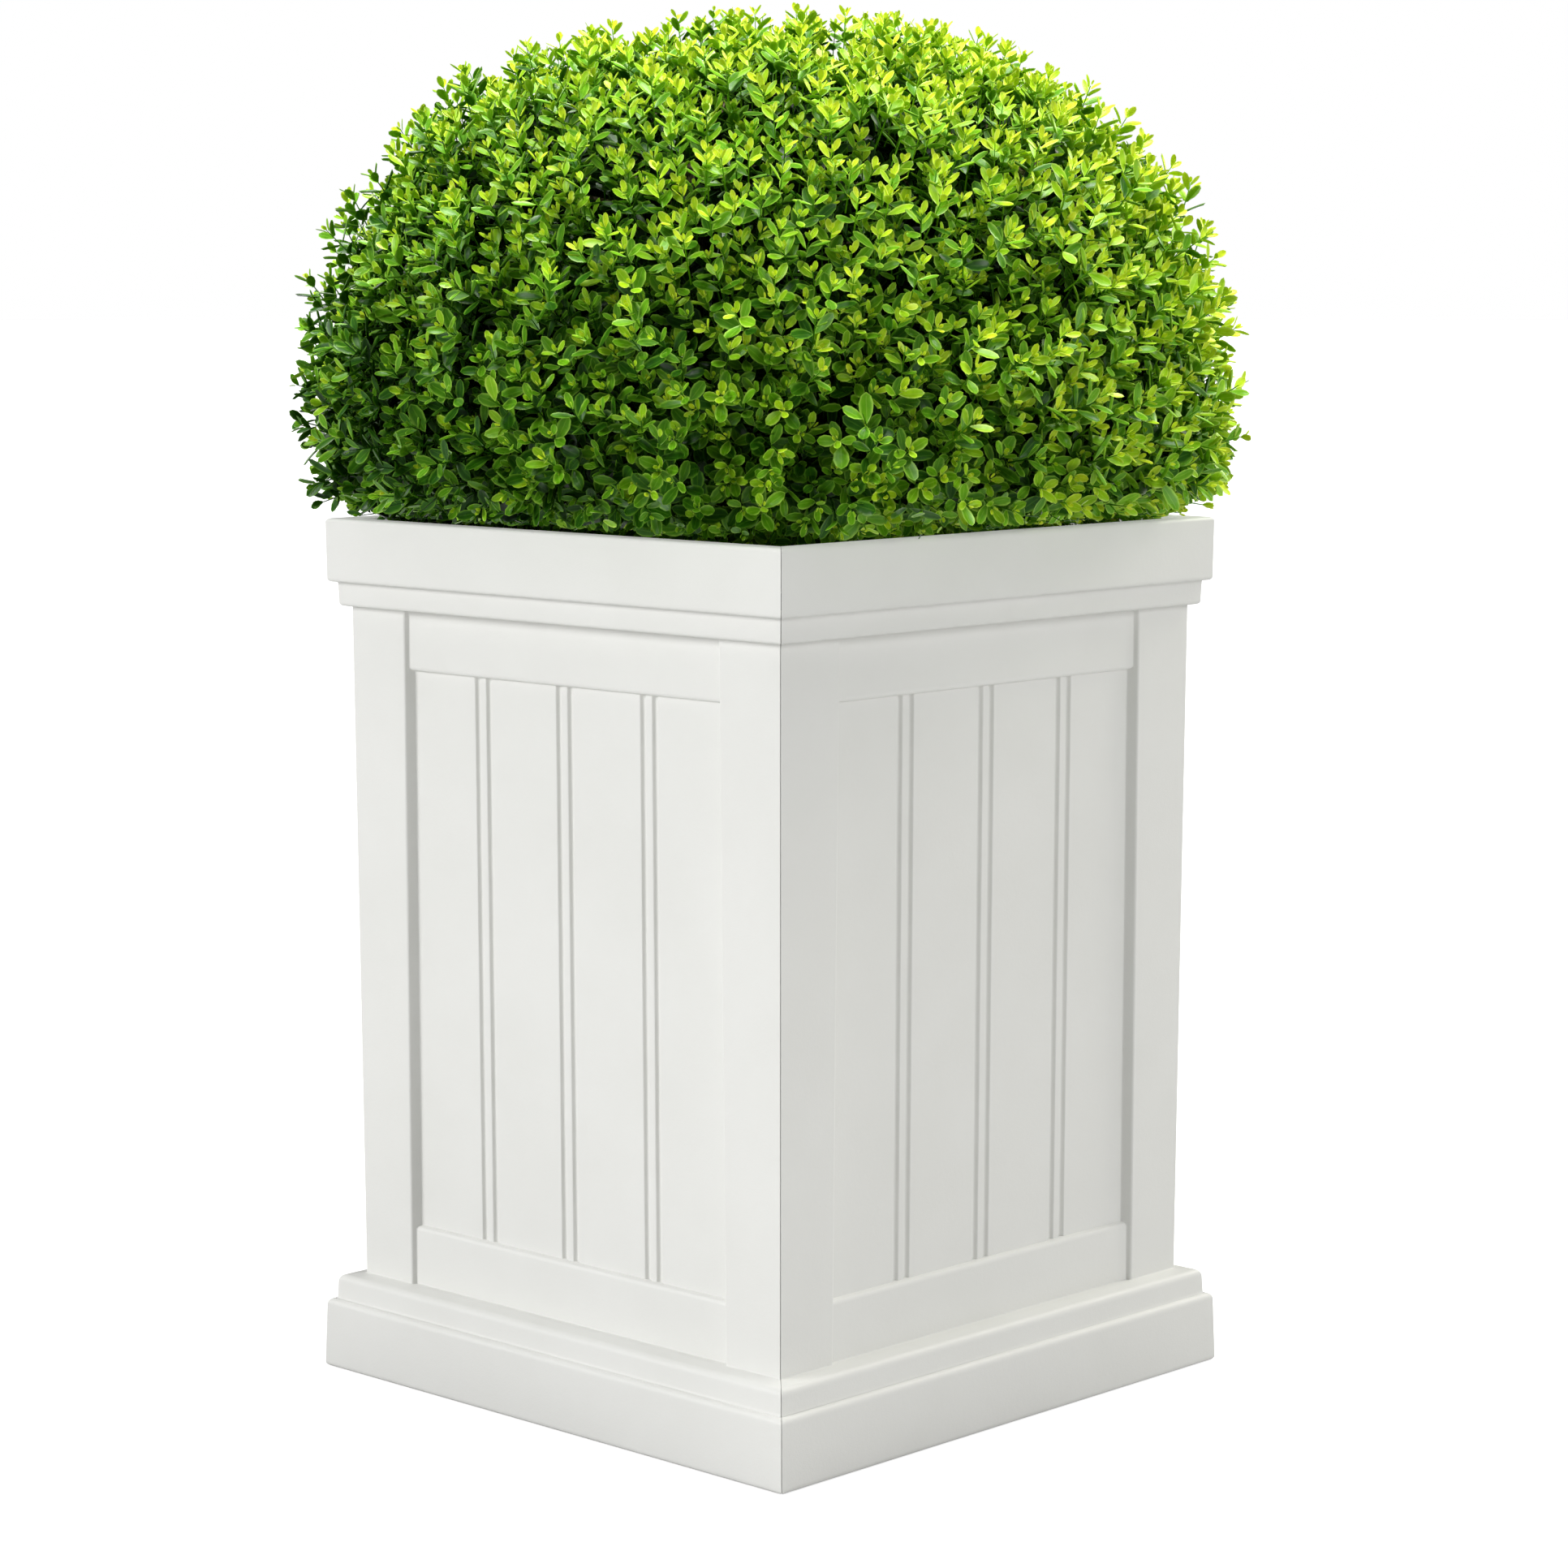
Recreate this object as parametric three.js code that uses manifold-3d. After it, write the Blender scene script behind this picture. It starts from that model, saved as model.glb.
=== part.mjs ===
// Square raised-panel garden planter with a clipped box plant standing inside it in its grower's pot.
//
// Millimetres, +Z up. The origin is on the floor under the middle of the planter. The front wall faces -Y and
// the right wall faces +X. Four moulded wall panels meet in mitred corners. Each wall has stiles, rails and a
// bead-board field under a stepped hollow rim, and stands on a stepped hollow plinth. Angle posts in the
// corners tie the walls together with screws and carry a shelf. The pot stands on the shelf and lifts out
// through the rim.

import * as THREE from 'three';
import { mergeVertices } from 'three/addons/utils/BufferGeometryUtils.js';
import Module from 'manifold-3d';

const wasm = await Module();
wasm.setup();

// ---------------------------------------------------------------- driving dimensions

// The whole planter.
const planterHeight = 699;
const bodyWidth = 478.4; // across two opposite stile faces, just under the rim
const bodyDraft = 3.2; // how far a stile face leans in from the rim down to the plinth
const skin = 5; // wall of the hollow rim and of the hollow plinth
const bodyThickness = 18.2; // stile face to the back of the wall, just under the rim
const seatGap = 0.3; // two pieces that touch are drawn this far apart
const mitreGap = 0.3; // hairline between two walls at a corner

// The rim: a tall band over a lower, narrower one. Overhangs are measured from the stile face under the rim.
const rimOverhang = 14.8;
const rimHeight = 51;
const rimDraft = 0.6;
const rimTopWidth = 20;
const rimLipDrop = 34;
const lowBandOverhang = 8.1;
const lowBandHeight = 19.6;
const lowBandDraft = 0.7;

// The plinth: a low tier, a narrower tier on it, and a foot flange that turns in under the base panel.
const plinthOverhang = 21.6;
const plinthLowHeight = 56.5;
const plinthLowDraft = 1.7;
const plinthHighOverhang = 14.1;
const plinthHighHeight = 21.5;
const plinthHighDraft = 1.0;
const plinthTopFall = 2.0;
const footFlangeReach = 58;

// The edges of the mouldings.
const rimEdgeRadius = 3;
const bandEdgeRadius = 2.5;
const plinthEdgeRadius = 4.5;
const insideEdgeRadius = 1;

// The framed field of each wall.
const stileWidthTop = 63.4;
const stileWidthFoot = 57.2;
const stileSideSlope = 3.3; // a stile's side comes this far in by the depth of the field
const railRecess = 4.2;
const fieldRecess = 8.9;
const topRailHeight = 47.5;
const footRailHeight = 47;
const railEdgeSlope = 1.6;
const boardPitch = 92.8;
const leastEndBoard = 40; // no pair of grooves is nearer to a stile than this
const grooveSpacing = 12.8;
const grooveMouth = 6.2;
const grooveFloor = 3.4;
const grooveDepth = 3;

// The parts inside.
const basePanelThickness = 6;
const baseDrainRadius = 7;
const baseDrainReach = 120;
const shelfTopHeight = 380;
const shelfThickness = 8;
const shelfRibDepth = 14;
const shelfRibThickness = 5;
const shelfRibReach = 75;
const shelfRibPostGap = 6; // ribs stop this far short of the posts' legs
const shelfDrainRadius = 7;
const shelfDrainReach = 110;
const shelfDrainCount = 8;
const postLeg = 40;
const postThickness = 4;
const upperAngleTopGap = 8;

// The screws through the posts into the stiles.
const screwShankRadius = 1.9;
const screwHeadRadius = 4.2;
const screwCrownRadius = 2.9;
const screwHeadHeight = 2.6;
const screwRimHeight = 1.3; // the straight side of the head, under its crown
const screwBite = 9; // how far a screw goes into the wall
const screwTip = 3;
const screwInset = 24; // from a post's corner to the screw's middle
const lowScrewRise = 45; // above the plinth
const highScrewDrop = 50; // below the shelf
const screwSides = 8;

// The grower's pot and its potting mix.
const potSideClearance = 16;
const potTaper = 36;
const potDrop = 19; // pot's top below the planter's
const potWall = 3;
const potBeadHeight = 24;
const potBeadReach = 5;
const potFloorDrainRadius = 8;
const potFloorDrainInset = 49; // from the edge of the pot's floor to the middles of its drains
const potFloorDrainCount = 6;
const drainSides = 10;
const soilDrop = 22; // soil's top below the pot's
const soilGap = 0.4;
const roundSides = 40; // facets round the pot, the potting mix and the leaves

// The box plant: a thick dome of leaves carried on stems. Rises are measured from the planter's top.
const foliageRadius = 358;
const foliageTopRise = 386;
const foliageBellyRise = 71;
const foliageBellyDepth = 154;
const foliagePower = 2.4;
const foliageThickness = 30;
const foliageRimClearance = 13;
const foliageNeckGap = 9; // the leaves that fill the rim's opening stay this far inside it
const foliagePotGap = 4; // and this far above the pot
const foliageRings = 12;
const stemCount = 6; // stems that lean out round the middle one
const stemFootRadius = 9;
const stemTopRadius = 5;
const stemRing = 30;
const stemLean = 36; // degrees from upright
const stemSides = 8;

// ---------------------------------------------------------------- places worked out from them

const bodyTopHalf = bodyWidth / 2;
const rimFloor = planterHeight - rimHeight;
const bandFloor = rimFloor - lowBandHeight;
const plinthTop = plinthLowHeight + plinthHighHeight;
const backPlane = bodyTopHalf - bodyThickness;
const rimHalf = bodyTopHalf + rimOverhang;
const bandHalf = bodyTopHalf + lowBandOverhang;
const plinthHalf = bodyTopHalf + plinthOverhang;
const plinthHighHalf = bodyTopHalf + plinthHighOverhang;
const shelfFloor = shelfTopHeight - shelfThickness;
const basePanelFloor = skin + seatGap;
const basePanelTop = basePanelFloor + basePanelThickness;
const postPlane = backPlane - seatGap;
const topRailFloor = bandFloor - topRailHeight;
const footRailTop = plinthTop + footRailHeight;
const potFloor = shelfTopHeight + seatGap;
const potTop = planterHeight - potDrop;
const potRimRadius = backPlane - potSideClearance;
const soilTop = potTop - soilDrop;
const foliageBelly = planterHeight + foliageBellyRise;
const foliageHem = planterHeight + foliageRimClearance;
const foliageNeck = rimHalf - rimTopWidth - foliageNeckGap;
const foliageHeight = foliageTopRise - foliageBellyRise;
const past = 20; // how far a cutter runs past the faces that it cuts through
const reach = plinthHalf + past;

// How far the stile face stands from the planter's middle at a height.
function stileFace(z) {
  return bodyTopHalf - (bodyDraft * (bandFloor - z)) / (bandFloor - plinthTop);
}

// Half the width of the framed field at a height, at a depth behind the stile face.
function fieldHalf(z, depth) {
  const up = (z - plinthTop) / (bandFloor - plinthTop);
  const edge = stileFace(z) - THREE.MathUtils.lerp(stileWidthFoot, stileWidthTop, up);
  return edge - (stileSideSlope * depth) / fieldRecess;
}

// ---------------------------------------------------------------- materials

const plastic = { color: 0xe9e9e5, roughness: 0.55, metalness: 0 };
const innerPlastic = { color: 0xdcdcd6, roughness: 0.6, metalness: 0 };
const steel = { color: 0xb8bbbd, roughness: 0.35, metalness: 1 };
const potPlastic = { color: 0x1d1f1e, roughness: 0.6, metalness: 0 };
const soil = { color: 0x3a2a1d, roughness: 0.95, metalness: 0 };
const bark = { color: 0x7c6a4b, roughness: 0.85, metalness: 0 };
const leaves = { color: 0x5f9a22, roughness: 0.5, metalness: 0 };

// ---------------------------------------------------------------- solids from geometries

// A closed geometry as a solid. Its faces are turned round if they point inwards.
function solid(geometry) {
  const bare = geometry.clone();
  bare.deleteAttribute('normal');
  bare.deleteAttribute('uv');
  const merged = mergeVertices(bare, 1e-4);
  const at = new THREE.Vector3();
  const corners = Array.from({ length: merged.attributes.position.count }, (_, i) =>
    at.fromBufferAttribute(merged.attributes.position, i).clone());
  const triangles = [];
  let volume = 0;
  for (let i = 0; i < merged.index.count; i += 3) {
    const face = [0, 1, 2].map((k) => merged.index.getX(i + k));
    if (new Set(face).size < 3) continue;
    triangles.push(face);
    const [a, b, c] = face.map((k) => corners[k]);
    volume += a.dot(b.clone().cross(c));
  }
  if (volume < 0) triangles.forEach((face) => face.reverse());
  return new wasm.Manifold(new wasm.Mesh({
    numProp: 3,
    vertProperties: new Float32Array(corners.flatMap((p) => [p.x, p.y, p.z])),
    triVerts: new Uint32Array(triangles.flat()),
  }));
}

// A solid as a flat-shaded geometry.
function geometryOf(body) {
  const mesh = body.getMesh();
  const geometry = new THREE.BufferGeometry();
  geometry.setAttribute('position', new THREE.BufferAttribute(mesh.vertProperties, 3));
  geometry.setIndex(new THREE.BufferAttribute(mesh.triVerts, 1));
  const flat = geometry.toNonIndexed();
  flat.computeVertexNormals();
  return flat;
}

// A shape from corners given as [x, y, radius]. A corner with a radius is rounded.
function roundedShape(corners) {
  const points = corners.map(([x, y, radius = 0]) => ({ at: new THREE.Vector2(x, y), radius }));
  const shape = new THREE.Shape();
  points.forEach(({ at, radius }, i) => {
    const before = points[(i + points.length - 1) % points.length].at;
    const after = points[(i + 1) % points.length].at;
    const start = at.clone().add(before.clone().sub(at).setLength(radius));
    const end = at.clone().add(after.clone().sub(at).setLength(radius));
    if (i === 0) shape.moveTo(start.x, start.y);
    else shape.lineTo(start.x, start.y);
    if (radius > 0) shape.quadraticCurveTo(at.x, at.y, end.x, end.y);
  });
  shape.closePath();
  return shape;
}

// A shape extruded upwards from one height to another.
function upright(shape, floor, top) {
  const options = { depth: top - floor, bevelEnabled: false, curveSegments: 6 };
  return new THREE.ExtrudeGeometry(shape, options).translate(0, 0, floor);
}

// A section in (distance out, height) run along X, for the wall that faces -Y.
function alongWall(shape, halfLength) {
  const options = { depth: 2 * halfLength, bevelEnabled: false, curveSegments: 2 };
  const geometry = new THREE.ExtrudeGeometry(shape, options).translate(0, 0, -halfLength);
  const out = new THREE.Vector3(0, -1, 0);
  const up = new THREE.Vector3(0, 0, 1);
  const along = new THREE.Vector3(-1, 0, 0);
  return geometry.applyMatrix4(new THREE.Matrix4().makeBasis(out, up, along));
}

// A block between two heights and two depths behind the stile face. It reaches halfWidthAt(z, depth) to each
// side of its middle.
function taperedBlock(heights, depths, middle, halfWidthAt) {
  const corners = [];
  for (const z of heights) {
    for (const depth of depths) {
      for (const side of [-1, 1]) {
        corners.push([middle + side * halfWidthAt(z, depth), -(stileFace(z) - depth), z]);
      }
    }
  }
  const quads = [[0, 1, 3, 2], [4, 6, 7, 5], [0, 4, 5, 1], [2, 3, 7, 6], [0, 2, 6, 4], [1, 5, 7, 3]];
  const geometry = new THREE.BufferGeometry();
  geometry.setAttribute('position', new THREE.Float32BufferAttribute(corners.flat(), 3));
  geometry.setIndex(quads.flatMap(([a, b, c, d]) => [a, b, c, a, c, d]));
  return geometry;
}

// A profile of [radius, height] points turned about Z.
function turned(points, sides) {
  const profile = points.map(([radius, z]) => new THREE.Vector2(radius, z));
  return new THREE.LatheGeometry(profile, sides).rotateX(Math.PI / 2);
}

// ---------------------------------------------------------------- the walls

// The section through a stile, with the hollow rim above it and the hollow plinth below.
function wallSection() {
  const lipOuter = rimHalf - rimTopWidth + skin;
  const lipFloor = planterHeight - rimLipDrop;
  const plinthShoulder = plinthTop - plinthTopFall;
  return roundedShape([
    [plinthHalf - footFlangeReach, 0],
    [plinthHalf, 0, rimEdgeRadius],
    [plinthHalf - plinthLowDraft, plinthLowHeight, plinthEdgeRadius],
    [plinthHighHalf, plinthLowHeight + insideEdgeRadius / 2, insideEdgeRadius],
    [plinthHighHalf - plinthHighDraft, plinthShoulder, plinthEdgeRadius],
    [stileFace(plinthTop), plinthTop, insideEdgeRadius],
    [stileFace(bandFloor), bandFloor, insideEdgeRadius],
    [bandHalf - lowBandDraft, bandFloor, bandEdgeRadius],
    [bandHalf, rimFloor, insideEdgeRadius],
    [rimHalf - rimDraft, rimFloor, bandEdgeRadius],
    [rimHalf, planterHeight, rimEdgeRadius],
    [rimHalf - rimTopWidth, planterHeight, rimEdgeRadius],
    [rimHalf - rimTopWidth, lipFloor],
    [lipOuter, lipFloor],
    [lipOuter, planterHeight - skin],
    [rimHalf - rimDraft - skin, planterHeight - skin],
    [rimHalf - rimDraft - skin, rimFloor + skin],
    [bandHalf - lowBandDraft - skin, rimFloor + skin],
    [bandHalf - lowBandDraft - skin, bandFloor + skin],
    [backPlane, bandFloor + skin],
    [backPlane, plinthShoulder - skin],
    [plinthHighHalf - plinthHighDraft - skin, plinthShoulder - skin],
    [plinthHighHalf - plinthHighDraft - skin, plinthLowHeight - skin],
    [plinthHalf - plinthLowDraft - skin, plinthLowHeight - skin],
    [plinthHalf - plinthLowDraft - skin, skin],
    [plinthHalf - footFlangeReach, skin],
  ]);
}

// The wedge between the two mitre planes of the wall that faces -Y.
function mitreWedge() {
  const cut = mitreGap / Math.SQRT2;
  const shape = roundedShape([[0, -cut], [-(reach - cut), -reach], [reach - cut, -reach]]);
  return solid(upright(shape, -1, planterHeight + 1));
}

// The recess between the stiles, as deep as the rails, and the deeper one between the rails.
function fieldRecesses() {
  const heights = [plinthTop, bandFloor];
  const railZone = taperedBlock(heights, [-past, railRecess], 0, fieldHalf);
  const field = roundedShape([
    [stileFace(footRailTop) - railRecess, footRailTop],
    [reach, footRailTop],
    [reach, topRailFloor],
    [stileFace(topRailFloor) - railRecess, topRailFloor],
    [stileFace(topRailFloor) - fieldRecess, topRailFloor - railEdgeSlope],
    [stileFace(footRailTop) - fieldRecess, footRailTop + railEdgeSlope],
  ]);
  const between = taperedBlock(heights, [-past, fieldRecess + 1], 0, fieldHalf);
  return solid(railZone).add(solid(alongWall(field, reach)).intersect(solid(between)));
}

// The middles of the groove pairs: as many boards of one pitch as the narrowest part of the field takes.
function pairMiddles() {
  const most = Math.floor((fieldHalf(bandFloor, fieldRecess) - leastEndBoard) / boardPitch);
  return Array.from({ length: 2 * most + 1 }, (_, i) => (i - most) * boardPitch);
}

// One groove, running from rail to rail.
function groove(middle) {
  const slope = (grooveMouth - grooveFloor) / 2 / grooveDepth;
  const half = (z, depth) => grooveMouth / 2 - slope * (depth - fieldRecess);
  const heights = [footRailTop + railEdgeSlope, topRailFloor - railEdgeSlope];
  return solid(taperedBlock(heights, [fieldRecess - 1, fieldRecess + grooveDepth], middle, half));
}

// Where the screws go through the posts of one wall: along the wall, height.
function screwPlaces() {
  const along = postPlane - screwInset;
  const heights = [plinthTop + lowScrewRise, shelfFloor - highScrewDrop, (shelfTopHeight + bandFloor) / 2];
  return [-along, along].flatMap((x) => heights.map((z) => [x, z]));
}

// A round hole across the posts and into the wall, a seat's gap larger than the screw.
function screwHole(x, z) {
  const deep = screwBite + seatGap;
  const length = deep + postThickness + 4 * seatGap;
  const hole = new THREE.CylinderGeometry(
    screwShankRadius + seatGap, screwShankRadius + seatGap, length, screwSides);
  return solid(hole.translate(x, -(backPlane + deep) + length / 2, z));
}

function wallGeometry() {
  let wall = solid(alongWall(wallSection(), reach)).intersect(mitreWedge());
  wall = wall.subtract(fieldRecesses());
  for (const middle of pairMiddles()) {
    wall = wall.subtract(groove(middle - grooveSpacing / 2));
    wall = wall.subtract(groove(middle + grooveSpacing / 2));
  }
  for (const [x, z] of screwPlaces()) wall = wall.subtract(screwHole(x, z));
  return geometryOf(wall);
}

// ---------------------------------------------------------------- the parts inside

// An angle in the front right corner, with a clearance hole wherever a screw crosses it.
function cornerAngle(floor, top) {
  const inner = postPlane - postThickness;
  const end = postPlane - postLeg;
  const outline = roundedShape([
    [postPlane, -postPlane], [postPlane, -end], [inner, -end],
    [inner, -inner], [end, -inner], [end, -postPlane],
  ]);
  let angle = solid(upright(outline, floor, top));
  for (const [x, z] of screwPlaces()) {
    if (x < 0 || z < floor || z > top) continue;
    angle = angle.subtract(screwHole(x, z));
    angle = angle.subtract(screwHole(-x, z).rotate([0, 0, 90]));
  }
  return geometryOf(angle);
}

function squareWithHoles(half, holes) {
  const shape = roundedShape([[-half, -half], [half, -half], [half, half], [-half, half]]);
  for (const [x, y, radius] of holes) {
    shape.holes.push(new THREE.Path().absarc(x, y, radius, 0, 2 * Math.PI, true));
  }
  return shape;
}

function basePanelGeometry() {
  const half = plinthHalf - plinthLowDraft - skin - seatGap;
  const holes = [[0, 0, baseDrainRadius]];
  for (const x of [-baseDrainReach, baseDrainReach]) {
    for (const y of [-baseDrainReach, baseDrainReach]) holes.push([x, y, baseDrainRadius]);
  }
  return geometryOf(solid(upright(squareWithHoles(half, holes), basePanelFloor, basePanelTop)));
}

// The shelf: a square plate with a ring of drain holes and four ribs under it.
function shelfGeometry() {
  const half = backPlane - 2 * seatGap;
  const holes = [[0, 0, shelfDrainRadius]];
  for (let i = 0; i < shelfDrainCount; i += 1) {
    const turn = ((i + 0.5) * 2 * Math.PI) / shelfDrainCount;
    holes.push([shelfDrainReach * Math.cos(turn), shelfDrainReach * Math.sin(turn), shelfDrainRadius]);
  }
  let shelf = solid(upright(squareWithHoles(half, holes), shelfFloor, shelfTopHeight));
  const ribLength = 2 * (half - postLeg - shelfRibPostGap);
  const ribHeight = shelfRibDepth + shelfThickness / 2;
  for (const side of [-1, 1]) {
    const rib = new THREE.BoxGeometry(ribLength, shelfRibThickness, ribHeight);
    rib.translate(0, side * shelfRibReach, shelfFloor - shelfRibDepth + ribHeight / 2);
    shelf = shelf.add(solid(rib));
    shelf = shelf.add(solid(rib.clone().rotateZ(Math.PI / 2)));
  }
  return geometryOf(shelf);
}

// A pan-head screw that points along -Y, with the underside of its head at the origin.
function screwGeometry() {
  const length = postThickness + seatGap + screwBite;
  const profile = [
    [0, -length], [screwShankRadius, screwTip - length], [screwShankRadius, 0], [screwHeadRadius, 0],
    [screwHeadRadius, screwRimHeight], [screwCrownRadius, screwHeadHeight], [0, screwHeadHeight],
  ];
  const points = profile.map(([radius, y]) => new THREE.Vector2(radius, y));
  return geometryOf(solid(new THREE.LatheGeometry(points, screwSides)));
}

// ---------------------------------------------------------------- the potted plant

const potFootRadius = potRimRadius - potBeadReach - potTaper;
const potShoulderRadius = potRimRadius - potBeadReach;

// The outside radius of the pot's plain wall at a height.
function potRadius(z) {
  return THREE.MathUtils.mapLinear(z, potFloor, potTop, potFootRadius, potShoulderRadius);
}

function potGeometry() {
  const inside = potFloor + potWall;
  let pot = solid(turned([
    [0, potFloor], [potFootRadius, potFloor],
    [potRadius(potTop - potBeadHeight), potTop - potBeadHeight],
    [potRimRadius, potTop - potBeadHeight], [potRimRadius, potTop],
    [potShoulderRadius - potWall, potTop],
    [potRadius(inside) - potWall, inside], [0, inside],
  ], roundSides));
  const drainReach = potFootRadius - potFloorDrainInset;
  for (let i = 0; i < potFloorDrainCount; i += 1) {
    const turn = (i * 2 * Math.PI) / potFloorDrainCount;
    const drain = new THREE.CylinderGeometry(
      potFloorDrainRadius, potFloorDrainRadius, 4 * potWall, drainSides);
    drain.rotateX(Math.PI / 2).translate(drainReach * Math.cos(turn), drainReach * Math.sin(turn), potFloor);
    pot = pot.subtract(solid(drain));
  }
  return geometryOf(pot);
}

function soilGeometry() {
  const floor = potFloor + potWall + seatGap;
  const radiusAt = (z) => potRadius(z) - potWall - soilGap;
  const profile = [[0, floor], [radiusAt(floor), floor], [radiusAt(soilTop), soilTop], [0, soilTop]];
  return geometryOf(solid(turned(profile, roundSides)));
}

// The dome's radius at a height, for a dome that is smaller all over by an inset.
function domeRadius(z, inset) {
  const height = z > foliageBelly ? foliageHeight - inset : foliageBellyDepth;
  const share = Math.min(1, Math.abs(z - foliageBelly) / height);
  return (foliageRadius - inset) * (1 - share ** foliagePower) ** (1 / foliagePower);
}

// The dome's outline from its top on the axis, down past the belly to its hem, in over the rim, and down a
// neck into the rim's opening. Rings are closer where it is flatter. An inset draws it smaller all over.
function domeOutline(inset, neckFloor) {
  const height = foliageHeight - inset;
  const hem = foliageHem + inset;
  const upper = Array.from({ length: foliageRings }, (_, i) => {
    const z = foliageBelly + height * Math.cos((i / foliageRings) * (Math.PI / 2));
    return [i === 0 ? 0 : domeRadius(z, inset), z];
  });
  const neck = foliageNeck - inset;
  return [
    ...upper, [domeRadius(foliageBelly, inset), foliageBelly], [domeRadius(hem, inset), hem],
    [neck, hem], [neck, neckFloor],
  ];
}

// The leaves as one thick dome with a neck, open below where the stems go in.
function foliageGeometry() {
  const floor = potTop + foliagePotGap;
  const outline = [...domeOutline(0, floor), ...domeOutline(foliageThickness, floor).reverse()];
  return geometryOf(solid(turned(outline, roundSides)));
}

// The space that the stems fill: from the soil up to the inside of the dome, a seat's gap short of both.
function stemSpace() {
  const floor = soilTop + seatGap;
  return solid(turned([...domeOutline(foliageThickness + seatGap, floor), [0, floor]], roundSides));
}

// One stem from the soil to the leaves, leaning out in the direction turn.
function stemGeometry(turn, lean, ring) {
  const length = foliageTopRise + 2 * foliageRadius;
  const start = 4 * stemFootRadius; // it begins under the soil's surface and is cut off there
  const stem = new THREE.CylinderGeometry(stemTopRadius, stemFootRadius, length, stemSides);
  stem.translate(0, length / 2 - start, 0).rotateX(Math.PI / 2);
  stem.rotateY(THREE.MathUtils.degToRad(lean)).translate(ring, 0, soilTop).rotateZ(turn);
  return geometryOf(solid(stem).intersect(stemSpace()));
}

// ---------------------------------------------------------------- the assembly

const group = new THREE.Group();

function add(parent, name, geometry, look) {
  const mesh = new THREE.Mesh(geometry, new THREE.MeshStandardMaterial(look));
  mesh.name = name;
  parent.add(mesh);
  return mesh;
}

// A group turned about Z by a number of quarter turns from the front.
function quarter(parent, turns) {
  const turnedGroup = new THREE.Group();
  turnedGroup.rotation.z = (turns * Math.PI) / 2;
  parent.add(turnedGroup);
  return turnedGroup;
}

const planter = new THREE.Group();
group.add(planter);

const wall = wallGeometry();
const lowerPost = cornerAngle(basePanelTop + seatGap, shelfFloor - seatGap);
const upperAngle = cornerAngle(shelfTopHeight + seatGap, bandFloor - upperAngleTopGap);
const screw = screwGeometry();

['front', 'right', 'back', 'left'].forEach((side, i) => {
  const facing = quarter(planter, i);
  add(facing, `${side}_wall`, wall, plastic);
  screwPlaces().forEach(([x, z], k) => {
    const head = postPlane - postThickness - seatGap;
    add(facing, `${side}_screw_${k + 1}`, screw, steel).position.set(x, -head, z);
  });
});

['front_right', 'back_right', 'back_left', 'front_left'].forEach((corner, i) => {
  const facing = quarter(planter, i);
  add(facing, `${corner}_lower_post`, lowerPost, innerPlastic);
  add(facing, `${corner}_upper_angle`, upperAngle, innerPlastic);
});

add(planter, 'base_panel', basePanelGeometry(), innerPlastic);
add(planter, 'pot_shelf', shelfGeometry(), innerPlastic);

const plant = new THREE.Group();
group.add(plant);
add(plant, 'grower_pot', potGeometry(), potPlastic);
add(plant, 'potting_mix', soilGeometry(), soil);
add(plant, 'middle_stem', stemGeometry(0, 0, 0), bark);
for (let i = 0; i < stemCount; i += 1) {
  add(plant, `leaning_stem_${i + 1}`, stemGeometry((i * 2 * Math.PI) / stemCount, stemLean, stemRing), bark);
}
add(plant, 'box_foliage', foliageGeometry(), leaves);

export default group;
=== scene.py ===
# %% [markdown]
# # A square panelled planter with a clipped box plant
#
# The real object is a white garden planter, moulded in plastic and a little taller than it is wide. Each of
# its four walls has a stepped rim, a framed field of boards and a stepped plinth, and the walls meet in
# mitred corners. A box plant, clipped to a dome, stands in it in a grower's pot. The whole plant lifts out.
#
# The frame is loaded first. It holds every part at its real size and says which body each part moves with,
# so each piece made below is put where the frame has it.

# %% Load the frame
import math

import bmesh
import bpy
import numpy as np
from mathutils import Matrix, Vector


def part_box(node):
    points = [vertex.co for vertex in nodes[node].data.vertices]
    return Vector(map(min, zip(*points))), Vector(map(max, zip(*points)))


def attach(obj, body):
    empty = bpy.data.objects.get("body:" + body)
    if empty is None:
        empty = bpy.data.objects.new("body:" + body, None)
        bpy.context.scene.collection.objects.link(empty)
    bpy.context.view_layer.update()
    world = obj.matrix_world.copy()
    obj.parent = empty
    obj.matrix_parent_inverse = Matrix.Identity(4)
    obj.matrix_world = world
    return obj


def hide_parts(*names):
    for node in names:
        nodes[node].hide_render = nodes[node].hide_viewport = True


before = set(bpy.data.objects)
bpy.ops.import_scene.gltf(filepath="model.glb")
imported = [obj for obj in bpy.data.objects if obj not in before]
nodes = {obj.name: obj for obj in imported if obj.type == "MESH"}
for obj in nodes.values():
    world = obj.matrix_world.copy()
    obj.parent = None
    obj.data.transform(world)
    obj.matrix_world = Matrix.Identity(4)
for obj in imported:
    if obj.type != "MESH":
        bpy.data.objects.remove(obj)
for name in ("Cube", "Light", "Camera"):  # what a new file starts with
    if name in bpy.data.objects:
        bpy.data.objects.remove(bpy.data.objects[name])
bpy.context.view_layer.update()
MM = 0.001
PLANTER, PLANT = "planter", "plant"

# %% [markdown]
# ## The camera
#
# A camera can be turned by eye until the picture looks right, or worked out from edges whose size is known.
# Here it was worked out: the planter's rim and plinth fix the direction, the distance and the lens at once.
# It is a long lens from a few metres away, turned down a little, which is how a product is usually
# photographed. The camera keeps no shift and no depth of field, so it can be moved round the object later
# without a surprise.

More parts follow.
